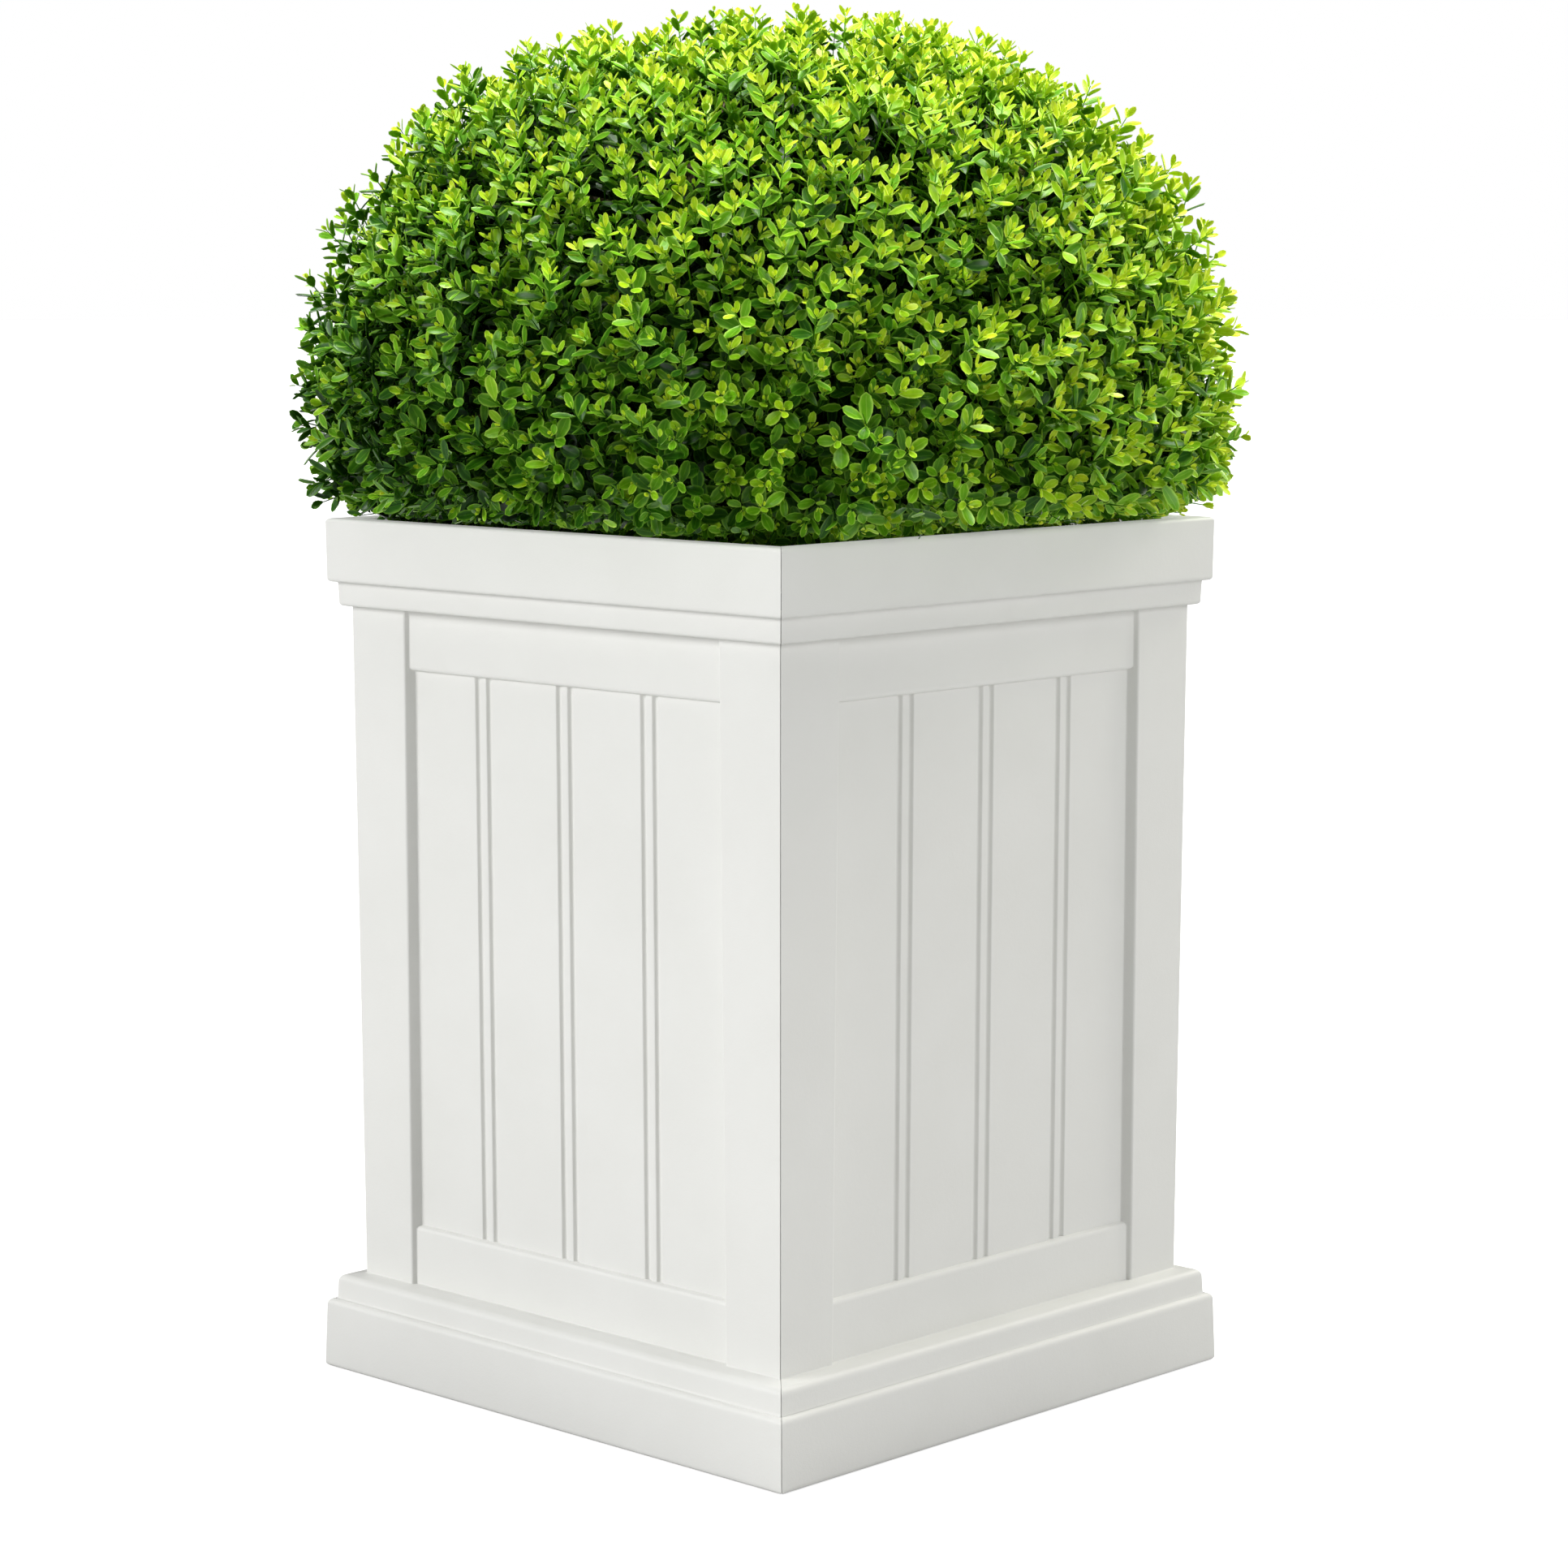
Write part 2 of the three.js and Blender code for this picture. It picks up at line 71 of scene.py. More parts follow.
# %% Place the camera
def start_clean():
    """Leave edit mode and deselect everything, because a tool acts on all that is selected."""
    if bpy.context.mode != "OBJECT":
        bpy.ops.object.mode_set(mode="OBJECT")
    bpy.ops.object.select_all(action="DESELECT")


LENS, SENSOR = 93.4, 36.0
CAMERA_TURN, CAMERA_PITCH = 43.629, 7.327  # degrees: round from the front wall, and down
CAMERA_AWAY, CAMERA_ASIDE, CAMERA_HIGH = 3.280, 0.0105, 0.9041

turn = math.radians(CAMERA_TURN)
ahead = Vector((-math.sin(turn), math.cos(turn), 0))
aside = Vector((math.cos(turn), math.sin(turn), 0))
start_clean()
bpy.ops.object.camera_add(
    location=-ahead * CAMERA_AWAY + aside * CAMERA_ASIDE + Vector((0, 0, CAMERA_HIGH)),
    rotation=(math.radians(90 - CAMERA_PITCH), 0, turn))
camera = bpy.context.active_object
camera.name = "camera"
camera.data.lens = LENS
camera.data.sensor_width = SENSOR
bpy.context.scene.camera = camera
print("camera at", [round(v, 3) for v in camera.location])

# %% [markdown]
# ## Floor and light
#
# The planter stands in a white studio. A curved paper sweep would do, but seen from behind it would stand
# in the way, so the floor is one very wide disc and the world round it is white. White on white is read by
# its shadows alone, so the light decides whether the mouldings can be seen. One wide key from the front
# left lights only the front wall, a weaker one from the far right lights only the right wall, and so every
# step and groove has a side in shade. A white floor would throw so much light up that it fills those
# shades. It is therefore grey to the light and white only to the eye of the camera.
#
# Leaves drink light and white plastic throws it back, so what suits the one burns out the other. The walls
# and the plant each have keys of their own. Which key lights what is settled at the end, once all the
# pieces are there.

# %% Lay the floor and hang the lights
FLOOR_RADIUS, FLOOR_SIDES = 60.0, 96
FLOOR_DROP = 0.0005  # so that no face of the plinth lies in the floor's plane
FLOOR_GREY, FLOOR_GLOW = 0.34, 0.80
SKY = 0.16
PANEL_TARGET = (0, 0, 0.9)
WALL_KEYS = {  # where a key light shines from, its strength, how wide it looks in degrees
    "front_key": ((-0.36, -0.82, 0.36), 2.12, 30.0),
    "right_key": ((0.84, 0.28, 0.40), 1.04, 30.0),
    "ledge_key": ((0.0, 0.0, 1.0), 1.00, 40.0),
}
PLANT_KEYS = {
    "leaf_front_key": ((-0.35, -0.78, 0.48), 2.55, 30.0),
    "leaf_right_key": ((0.90, 0.30, 0.30), 1.25, 30.0),
    "leaf_high_key": ((0.12, 0.15, 0.98), 3.10, 30.0),
    "leaf_back_key": ((-0.80, 0.45, 0.40), 1.10, 40.0),
}
PANELS = {  # where a light panel hangs, its width, its power in watts, its colour
    "top_softbox": ((0.1, 0.0, 2.7), 1.0, 34.0, (1.0, 0.99, 0.93)),
    "back_softbox": ((0.6, 2.1, 2.0), 1.0, 30.0, (1.0, 0.98, 0.88)),
}


def new_material(name, colour, roughness, **sockets):
    """A new material. What is the same all over its surface is set on the shader's own sockets."""
    material = bpy.data.materials.new(name)
    material.use_nodes = True
    shader = material.node_tree.nodes["Principled BSDF"]
    shader.inputs["Base Color"].default_value = (*colour, 1)
    shader.inputs["Roughness"].default_value = roughness
    for socket, value in sockets.items():
        shader.inputs[socket.replace("_", " ")].default_value = value
    return material


def seen_by_camera(tree, low, high):
    """A value that is high for what the camera sees straight, and low for all other light."""
    ray = tree.nodes.new("ShaderNodeLightPath")
    level = tree.nodes.new("ShaderNodeMapRange")
    level.inputs["To Min"].default_value = low
    level.inputs["To Max"].default_value = high
    tree.links.new(ray.outputs["Is Camera Ray"], level.inputs["Value"])
    return level.outputs["Result"]


start_clean()
bpy.ops.mesh.primitive_circle_add(
    vertices=FLOOR_SIDES, radius=FLOOR_RADIUS, fill_type="NGON", location=(0, 0, -FLOOR_DROP))
floor = bpy.context.active_object
floor.name = "studio_floor"
pale = new_material("pale_floor", (FLOOR_GREY,) * 3, 0.9, Emission_Color=(1, 1, 1, 1))
floor_shader = pale.node_tree.nodes["Principled BSDF"]
glow = seen_by_camera(pale.node_tree, 0, FLOOR_GLOW)
pale.node_tree.links.new(glow, floor_shader.inputs["Emission Strength"])
floor.data.materials.append(pale)

world = bpy.data.worlds.new("white_studio")
world.use_nodes = True
bpy.context.scene.world = world
sky = world.node_tree.nodes["Background"]
sky.inputs["Color"].default_value = (1, 1, 1, 1)
world.node_tree.links.new(seen_by_camera(world.node_tree, SKY, 1), sky.inputs["Strength"])


def aim(light, target):
    """Turn a light so that it shines at a point."""
    light.rotation_euler = (Vector(target) - light.location).to_track_quat("-Z", "Y").to_euler()


for name, (place, strength, width) in (WALL_KEYS | PLANT_KEYS).items():
    bpy.ops.object.light_add(type="SUN", location=place)
    key = bpy.context.active_object
    key.name = name
    key.data.energy = strength
    key.data.angle = math.radians(width)
    aim(key, (0, 0, 0))
for name, (place, width, power, colour) in PANELS.items():
    bpy.ops.object.light_add(type="AREA", location=place)
    panel = bpy.context.active_object
    panel.name = name
    panel.data.size = width
    panel.data.energy = power
    panel.data.color = colour
    aim(panel, PANEL_TARGET)
bpy.context.scene.view_settings.view_transform = "Standard"

# %% [markdown]
# ## Helpers for working by hand
#
# A person at the screen clicks the faces and edges to work on. A script has no mouse, so these helpers
# choose them by where they lie and which way they face. Everything else is deselected first. A modifier is
# applied as soon as it is added, so that the next step works on the shape it leaves.

# %% Choose faces and edges by their place
HAIR = 0.01 * MM  # places nearer than this are the same
FACING = 0.9  # the least share of a normal along an axis for a face that faces that way


def select_only(piece):
    """Make a piece the only selected object."""
    start_clean()
    piece.select_set(True)
    bpy.context.view_layer.objects.active = piece


def work_on(piece):
    """Open a piece for editing, with nothing else selected."""
    select_only(piece)
    bpy.ops.object.mode_set(mode="EDIT")


def pick(kind, wanted):
    """In edit mode, select only the faces, or only the edges, that pass a test."""
    bpy.ops.mesh.select_mode(type=kind)
    bpy.ops.mesh.select_all(action="DESELECT")
    shape = bmesh.from_edit_mesh(bpy.context.edit_object.data)
    elements = shape.faces if kind == "FACE" else shape.edges
    chosen = [element for element in elements if wanted(element)]
    for element in chosen:
        element.select_set(True)
    bmesh.update_edit_mesh(bpy.context.edit_object.data)
    return len(chosen)


def pick_faces(wanted):
    """Select only the faces whose middle and normal pass a test."""
    return pick("FACE", lambda face: wanted(face.calc_center_median(), face.normal))


def pick_edges(wanted):
    """Select only the edges whose two ends pass a test."""
    return pick("EDGE", lambda edge: wanted(edge.verts[0].co, edge.verts[1].co))


def extrude(step):
    """Extrude what is selected by a step."""
    bpy.ops.mesh.extrude_region_move(TRANSFORM_OT_translate={"value": step})


def named(name):
    """Name the piece that was just added, and its mesh."""
    piece = bpy.context.active_object
    piece.name = piece.data.name = name
    return piece


def add_modifier(piece, kind, **settings):
    """Add a modifier and apply it at once."""
    select_only(piece)
    modifier = piece.modifiers.new(kind.title(), kind)
    for name, value in settings.items():
        setattr(modifier, name, value)
    bpy.ops.object.modifier_apply(modifier=modifier.name)


def finish_mesh(piece, sharp=35.0):
    """End a piece's modelling: its place in its mesh, normals outwards, round faces smooth, corners crisp."""
    work_on(piece)
    bpy.ops.mesh.select_all(action="SELECT")
    bpy.ops.mesh.remove_doubles(threshold=HAIR)
    bpy.ops.mesh.normals_make_consistent(inside=False)
    bpy.ops.object.mode_set(mode="OBJECT")
    bpy.ops.object.transform_apply(location=True, rotation=True, scale=True)
    bpy.ops.object.shade_smooth_by_angle(angle=math.radians(sharp))
    print(piece.name, len(piece.data.polygons), "faces", "open" if open_edges(piece) else "closed")


def open_edges(piece):
    """How many edges of a mesh don't have exactly two faces."""
    shape = bmesh.new()
    shape.from_mesh(piece.data)
    count = sum(1 for edge in shape.edges if len(edge.link_faces) != 2)
    shape.free()
    return count


# %% [markdown]
# ## Finishes
#
# A plain colour looks like paint in a drawing program. Real plastic has the fine grain of its mould, a
# sheen that varies a little and a hint of unevenness in its colour. Pictures could carry all that, but
# noise that reads the piece's own coordinates needs none, and its grain has a true size in millimetres.
# Each helper below adds one or two nodes, so that every finish becomes a short recipe.

# %% Helpers for finishes
def noise(material, size, detail=2.0, stretch=(1, 1, 1)):
    """Noise whose patches are about size metres across, longer along an axis where stretch is below 1."""
    tree = material.node_tree
    place = tree.nodes.new("ShaderNodeTexCoord")
    mapping = tree.nodes.new("ShaderNodeMapping")
    mapping.inputs["Scale"].default_value = stretch
    texture = tree.nodes.new("ShaderNodeTexNoise")
    texture.inputs["Scale"].default_value = 1 / size
    texture.inputs["Detail"].default_value = detail
    tree.links.new(place.outputs["Object"], mapping.inputs["Vector"])
    tree.links.new(mapping.outputs["Vector"], texture.inputs["Vector"])
    return texture.outputs["Fac"]


def grains(material, size, output="Color"):
    """Cells about size metres across, each with a value of its own."""
    tree = material.node_tree
    place = tree.nodes.new("ShaderNodeTexCoord")
    texture = tree.nodes.new("ShaderNodeTexVoronoi")
    texture.inputs["Scale"].default_value = 1 / size
    tree.links.new(place.outputs["Object"], texture.inputs["Vector"])
    return texture.outputs[output]


def attribute(material, name):
    """A number that every point of a mesh remembers."""
    reader = material.node_tree.nodes.new("ShaderNodeAttribute")
    reader.attribute_name = name
    return reader.outputs["Fac"]


def colour_by(material, source, *stops):
    """Colours along a value, given as pairs of a place from 0 to 1 and a colour."""
    ramp = material.node_tree.nodes.new("ShaderNodeValToRGB")
    elements = ramp.color_ramp.elements
    while len(elements) < len(stops):
        elements.new(0.5)
    for element, (place, colour) in zip(elements, stops):
        element.position = place
        element.color = (*colour, 1)
    material.node_tree.links.new(source, ramp.inputs["Fac"])
    return ramp.outputs["Color"]


def scaled(material, source, low, high):
    """A value moved from the range of a noise to the range from low to high."""
    level = material.node_tree.nodes.new("ShaderNodeMapRange")
    for socket, value in (("From Min", 0.3), ("From Max", 0.7), ("To Min", low), ("To Max", high)):
        level.inputs[socket].default_value = value
    material.node_tree.links.new(source, level.inputs["Value"])
    return level.outputs["Result"]


def mixed(material, share, first, second):
    """Two colours mixed by a value from 0, all the first, to 1, all the second."""
    mix = material.node_tree.nodes.new("ShaderNodeMix")
    mix.data_type = "RGBA"
    for socket, source in (("Factor", share), ("A", first), ("B", second)):
        if isinstance(source, bpy.types.NodeSocket):
            material.node_tree.links.new(source, mix.inputs[socket])
        else:
            mix.inputs[socket].default_value = (*source, 1)
    return mix.outputs["Result"]


def drive(material, **sources):
    """Link sources to sockets of the shader."""
    shader = material.node_tree.nodes["Principled BSDF"]
    for socket, source in sources.items():
        material.node_tree.links.new(source, shader.inputs[socket.replace("_", " ")])


def raise_by(material, source, depth):
    """Add relief of a depth in metres to the surface, over any relief it has."""
    tree = material.node_tree
    bump = tree.nodes.new("ShaderNodeBump")
    bump.inputs["Distance"].default_value = depth
    normal = tree.nodes["Principled BSDF"].inputs["Normal"]
    if normal.is_linked:
        tree.links.new(normal.links[0].from_socket, bump.inputs["Normal"])
    tree.links.new(source, bump.inputs["Height"])
    tree.links.new(bump.outputs["Normal"], normal)


# %% [markdown]
# The outer walls are satin white plastic. The colour leans a little to yellow and has faint clouds, as a
# filled plastic does. A fine stipple of one to four millimetres comes from the mould, and a much slower
# waviness from the way a thick wall shrinks. The plastic inside is the same stuff, less white and less
# finished.

# %% Mix the plastics and the steel
def satin_plastic(name, colour, cloud, sheen_low, sheen_high, stipple):
    """Moulded plastic: its colour and that of its clouds, its roughness from and to, its stipple's depth."""
    material = new_material(name, colour, sheen_low, Specular_IOR_Level=0.42)
    clouds = noise(material, 90 * MM, 3.0)
    drive(material, Base_Color=colour_by(material, clouds, (0.35, cloud), (0.65, colour)))
    drive(material, Roughness=scaled(material, noise(material, 14 * MM, 4.0), sheen_low, sheen_high))
    raise_by(material, noise(material, 120 * MM, 1.0), 0.25 * MM)
    raise_by(material, noise(material, 4 * MM, 2.0), stipple)
    raise_by(material, noise(material, 1.3 * MM, 2.0), stipple)
    return material


white_plastic = satin_plastic(
    "satin_white", (0.800, 0.802, 0.775), (0.782, 0.784, 0.755), 0.42, 0.54, 0.07 * MM)
inner_plastic = satin_plastic(
    "plain_off_white", (0.70, 0.70, 0.67), (0.66, 0.66, 0.62), 0.5, 0.64, 0.05 * MM)

steel = new_material("bright_steel", (0.62, 0.63, 0.64), 0.3, Metallic=1.0)
drive(steel, Roughness=scaled(steel, noise(steel, 1.5 * MM, 4.0), 0.22, 0.42))
raise_by(steel, noise(steel, 0.6 * MM), 0.01 * MM)

pot_plastic = new_material("dull_black", (0.014, 0.015, 0.0145), 0.5)
dust = noise(pot_plastic, 45 * MM, 5.0, (1, 1, 0.4))
dusty = colour_by(pot_plastic, dust, (0.42, (0.011, 0.012, 0.0115)), (0.75, (0.035, 0.032, 0.027)))
drive(pot_plastic, Base_Color=dusty)
drive(pot_plastic, Roughness=scaled(pot_plastic, noise(pot_plastic, 20 * MM, 4.0), 0.42, 0.68))
raise_by(pot_plastic, noise(pot_plastic, 2.2 * MM), 0.06 * MM)

# %% [markdown]
# Potting mix is crumbs of composted bark of all shades of brown, with a few pale ones. Cells of five
# millimetres draw the crumbs, and a finer noise the dust on them. The stems' bark is fissured along their
# length, so its noise is stretched upwards.

# %% Mix the soil and the bark
soil = new_material("composted_bark", (0.05, 0.03, 0.018), 0.95, Specular_IOR_Level=0.2)
crumbs = colour_by(
    soil, grains(soil, 5 * MM), (0.1, (0.018, 0.011, 0.007)), (0.5, (0.045, 0.027, 0.016)),
    (0.8, (0.12, 0.07, 0.035)), (0.97, (0.42, 0.38, 0.3)))
drive(soil, Base_Color=mixed(soil, noise(soil, 1.6 * MM, 4.0), crumbs, (0.03, 0.019, 0.012)))
raise_by(soil, grains(soil, 5 * MM, "Distance"), 1.5 * MM)
raise_by(soil, noise(soil, 1.5 * MM, 4.0), 0.5 * MM)

bark = new_material("fissured_bark", (0.2, 0.155, 0.1), 0.85, Specular_IOR_Level=0.25)
fissures = noise(bark, 2.2 * MM, 5.0, (1, 1, 0.16))
drive(bark, Base_Color=colour_by(
    bark, fissures, (0.36, (0.06, 0.045, 0.028)), (0.52, (0.17, 0.13, 0.08)), (0.68, (0.32, 0.27, 0.18))))
raise_by(bark, fissures, 0.7 * MM)

# %% [markdown]
# A leaf's colour follows one number that mixes its age with painted light and shade: the oldest and most
# shaded are a deep blue-green, the youngest and most lit nearly yellow. Its edge and its midrib are paler,
# partly in their own colour and partly as a painted highlight. Both facts are in numbers that each point of
# the leaf meshes remembers, so the finish only has to turn them into colour. The blade is a little glossy,
# and its colour is never quite even.

# %% Mix the leaves' green
leaf_green = new_material("box_leaf", (0.1, 0.3, 0.02), 0.4, Specular_IOR_Level=0.17)
# Painted light and shade: the colour number also makes leaves lighter where they are lit and darker where
# they are shaded.
by_age_and_light = colour_by(
    leaf_green, attribute(leaf_green, "youth_and_light"), (0.0, (0.0005, 0.008, 0.0002)), (0.2, (0.013, 0.092, 0.0008)),
    (0.45, (0.130, 0.375, 0.002)), (0.72, (0.41, 0.67, 0.004)), (1.0, (0.62, 0.75, 0.014)))
pale_by_age_and_light = colour_by(
    leaf_green, attribute(leaf_green, "youth_and_light"), (0.0, (0.010, 0.060, 0.004)), (0.2, (0.140, 0.320, 0.024)),
    (0.45, (0.400, 0.660, 0.080)), (0.72, (0.66, 0.82, 0.11)), (1.0, (0.78, 0.87, 0.14)))
# The pale edge and midrib are partly the leaf's own colour and partly a painted highlight.
margin_and_highlight = colour_by(  # from the midrib at 0 to the leaf's edge at 1
    leaf_green, attribute(leaf_green, "edge"), (0.0, (0.40,) * 3), (0.14, (0.04,) * 3), (0.62, (0.10,) * 3),
    (0.90, (0.95,) * 3))
paler_with_highlight = mixed(leaf_green, margin_and_highlight, by_age_and_light, pale_by_age_and_light)
patches = colour_by(leaf_green, noise(leaf_green, 6 * MM, 3.0), (0.3, (0.72, 0.80, 0.7)), (0.7, (1, 1, 1)))
uneven = leaf_green.node_tree.nodes.new("ShaderNodeMix")
uneven.data_type, uneven.blend_type = "RGBA", "MULTIPLY"
uneven.inputs["Factor"].default_value = 1.0
leaf_green.node_tree.links.new(paler_with_highlight, uneven.inputs["A"])
leaf_green.node_tree.links.new(patches, uneven.inputs["B"])
drive(leaf_green, Base_Color=uneven.outputs["Result"])
drive(leaf_green, Roughness=scaled(leaf_green, noise(leaf_green, 9 * MM), 0.26, 0.38))
raise_by(leaf_green, noise(leaf_green, 2.5 * MM), 0.1 * MM)
print("finishes", [m.name for m in bpy.data.materials if m.use_nodes])

# %% [markdown]
# ## The wall's section
#
# Seen from its end, a wall is one moulding: a hollow stepped plinth with a foot that turns in, a plain
# stile that leans in a little, and a hollow stepped rim. The section could be cut out of a block, but a
# moulding is easier to draw: one vertex is extruded from corner to corner, the outline is filled, and the
# face is extruded along the wall. Then the long edges are bevelled, each to its own radius.

# %% Draw the section and extrude it along the wall
wall_low, wall_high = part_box("front_wall")
PLINTH_HALF = -wall_low.y
TOP = wall_high.z
SKIN = 5 * MM
FOOT_REACH = 58 * MM
PLINTH_LOW_TOP, PLINTH_TOP, PLINTH_FALL = 56.5 * MM, 78 * MM, 2 * MM
PLINTH_LOW_DRAFT, PLINTH_HIGH_SETBACK, PLINTH_HIGH_DRAFT = 1.7 * MM, 7.5 * MM, 1 * MM
RIM_HALF = PLINTH_HALF - 6.8 * MM
RIM_FLOOR, RIM_DRAFT, RIM_TOP_WIDTH, RIM_LIP_DROP = TOP - 51 * MM, 0.6 * MM, 20 * MM, 34 * MM
BAND_HALF, BAND_FLOOR, BAND_DRAFT = RIM_HALF - 6.7 * MM, RIM_FLOOR - 19.6 * MM, 0.7 * MM
FACE_TOP, FACE_LEAN = RIM_HALF - 14.8 * MM, 3.2 * MM
BACK = FACE_TOP - 18.2 * MM
PLINTH_HIGH_HALF = PLINTH_HALF - PLINTH_HIGH_SETBACK
ROUND_RIM, ROUND_BAND, ROUND_PLINTH, ROUND_INSIDE = 3 * MM, 2.5 * MM, 4.5 * MM, 1 * MM
ROUND_STEPS, ROUND_INSIDE_STEPS = 5, 2


def face_out(z):
    """How far the stiles' face stands out from the middle of the planter at a height."""
    return FACE_TOP - FACE_LEAN * (BAND_FLOOR - z) / (BAND_FLOOR - PLINTH_TOP)


def wall_section():
    """The section's corners, from the foot round: distance out, height, and the radius of the edge there."""
    shoulder = PLINTH_TOP - PLINTH_FALL
    high_top = PLINTH_HIGH_HALF - PLINTH_HIGH_DRAFT
    low_top = PLINTH_HALF - PLINTH_LOW_DRAFT
    rim_foot, band_foot = RIM_HALF - RIM_DRAFT, BAND_HALF - BAND_DRAFT
    lip, lip_floor = RIM_HALF - RIM_TOP_WIDTH, TOP - RIM_LIP_DROP
    return [
        (PLINTH_HALF - FOOT_REACH, 0, 0), (PLINTH_HALF, 0, ROUND_RIM),
        (low_top, PLINTH_LOW_TOP, ROUND_PLINTH), (PLINTH_HIGH_HALF, PLINTH_LOW_TOP, ROUND_INSIDE),
        (high_top, shoulder, ROUND_PLINTH),
        (face_out(PLINTH_TOP), PLINTH_TOP, 0), (FACE_TOP, BAND_FLOOR, 0), (band_foot, BAND_FLOOR, ROUND_BAND),
        (BAND_HALF, RIM_FLOOR, ROUND_INSIDE), (rim_foot, RIM_FLOOR, ROUND_BAND), (RIM_HALF, TOP, ROUND_RIM),
        (lip, TOP, ROUND_RIM), (lip, lip_floor, 0), (lip + SKIN, lip_floor, 0), (lip + SKIN, TOP - SKIN, 0),
        (rim_foot - SKIN, TOP - SKIN, 0), (rim_foot - SKIN, RIM_FLOOR + SKIN, 0),
        (band_foot - SKIN, RIM_FLOOR + SKIN, 0), (band_foot - SKIN, BAND_FLOOR + SKIN, 0),
        (BACK, BAND_FLOOR + SKIN, 0), (BACK, shoulder - SKIN, 0), (high_top - SKIN, shoulder - SKIN, 0),
        (high_top - SKIN, PLINTH_LOW_TOP - SKIN, 0), (low_top - SKIN, PLINTH_LOW_TOP - SKIN, 0),
        (low_top - SKIN, SKIN, 0), (PLINTH_HALF - FOOT_REACH, SKIN, 0),
    ]


def draw_outline(name, points, fill=True):
    """Draw an outline as by hand: one vertex, extruded from point to point, and filled if asked."""
    start_clean()
    bpy.ops.mesh.primitive_plane_add(size=MM, location=points[0])
    piece = named(name)
    bpy.ops.object.transform_apply(location=True)
    work_on(piece)
    bpy.ops.mesh.select_mode(type="VERT")
    bpy.ops.mesh.select_all(action="SELECT")
    bpy.ops.mesh.merge(type="CENTER")
    for here, there in zip(points, points[1:]):
        extrude(Vector(there) - Vector(here))
    if fill:
        bpy.ops.mesh.select_all(action="SELECT")
        bpy.ops.mesh.edge_face_add()
    return piece


section = wall_section()
wall = draw_outline("front_panel", [(-PLINTH_HALF, -out, up) for out, up, _ in section])
extrude((2 * PLINTH_HALF, 0, 0))
bpy.ops.mesh.select_all(action="SELECT")
bpy.ops.mesh.normals_make_consistent(inside=False)


def along_corner(a, b, out, up):
    """True for an edge that runs along the wall at one corner of the section."""
    return all(abs(p.y + out) < HAIR and abs(p.z - up) < HAIR for p in (a, b))


for out, up, radius in section:
    if radius:
        pick_edges(lambda a, b: along_corner(a, b, out, up))
        steps = ROUND_STEPS if radius > ROUND_INSIDE else ROUND_INSIDE_STEPS
        bpy.ops.mesh.bevel(offset=radius, segments=steps, affect="EDGES")
bpy.ops.object.mode_set(mode="OBJECT")
print("moulding", len(wall.data.polygons), "faces, open edges", open_edges(wall))

# %% [markdown]
# ## The framed field
#
# Between two stiles the wall steps back twice: to the rails, and from the rails to the boards. Boolean
# cutters would do it, but they leave thin slivers where the edges are to be rounded. So the stile face is
# bisected along the frame's lines, and the faces inside them are pushed back and drawn in a little, which
# gives the sides the slope that lets a moulding leave its mould. The grooves are cut the same way, six
# narrow faces at once.

# %% Push back the rails and the boards
STILE_TOP, STILE_FOOT = 63.4 * MM, 57.2 * MM
RAIL_TOP_FLOOR, RAIL_FOOT_TOP = BAND_FLOOR - 47.5 * MM, PLINTH_TOP + 47 * MM
RAIL_BACK, FIELD_BACK, STILE_SLOPE, RAIL_SLOPE = 4.2 * MM, 8.9 * MM, 3.3 * MM, 1.6 * MM
field_top, field_foot = FACE_TOP - STILE_TOP, face_out(PLINTH_TOP) - STILE_FOOT
field_mid = (field_top + field_foot) / 2
face_mid = (RAIL_TOP_FLOOR + RAIL_FOOT_TOP) / 2
DEPTH_SLACK = 0.5 * MM  # how far a face may lie from a depth and still be at it


def at_depth(middle, normal, depth):
    """True for the wall's faces at a depth behind the stiles' face."""
    return normal.y < -FACING and abs(middle.y + face_out(middle.z) - depth) < DEPTH_SLACK


def on_stile_face(middle, normal):
    """True for the faces that lie on the plane of the stiles."""
    return at_depth(middle, normal, 0) and PLINTH_TOP < middle.z < BAND_FLOOR


def on_framed_face(middle, normal):
    """True for the part of the stiles' plane that lies between the stiles' inner edges."""
    return on_stile_face(middle, normal) and abs(middle.x) < field_top / 2


work_on(wall)
for side in (-1, 1):
    pick_faces(on_stile_face)
    lean = Vector((BAND_FLOOR - PLINTH_TOP, 0, -side * (field_top - field_foot)))
    bpy.ops.mesh.bisect(plane_co=(side * field_foot, 0, PLINTH_TOP), plane_no=lean)
for height in (RAIL_FOOT_TOP, RAIL_TOP_FLOOR):
    pick_faces(on_framed_face)
    bpy.ops.mesh.bisect(plane_co=(0, 0, height), plane_no=(0, 0, 1))
count = pick_faces(on_framed_face)
extrude((0, RAIL_BACK, 0))
drawn_in = STILE_SLOPE * RAIL_BACK / FIELD_BACK
bpy.ops.transform.resize(value=(1 - drawn_in / field_mid, 1, 1), center_override=(0, 0, 0))
pick_faces(lambda m, n: at_depth(m, n, RAIL_BACK) and RAIL_FOOT_TOP < m.z < RAIL_TOP_FLOOR)
extrude((0, FIELD_BACK - RAIL_BACK, 0))
narrower = 1 - (STILE_SLOPE - drawn_in) / field_mid
lower = 1 - 2 * RAIL_SLOPE / (RAIL_TOP_FLOOR - RAIL_FOOT_TOP)
bpy.ops.transform.resize(value=(narrower, 1, lower), center_override=(0, 0, face_mid))
print("faces in the field", count)

# %% [markdown]
# Three pairs of grooves divide the field into four boards. Each groove is narrower at its floor, so after
# the extrusion its floor is drawn in about its own middle.

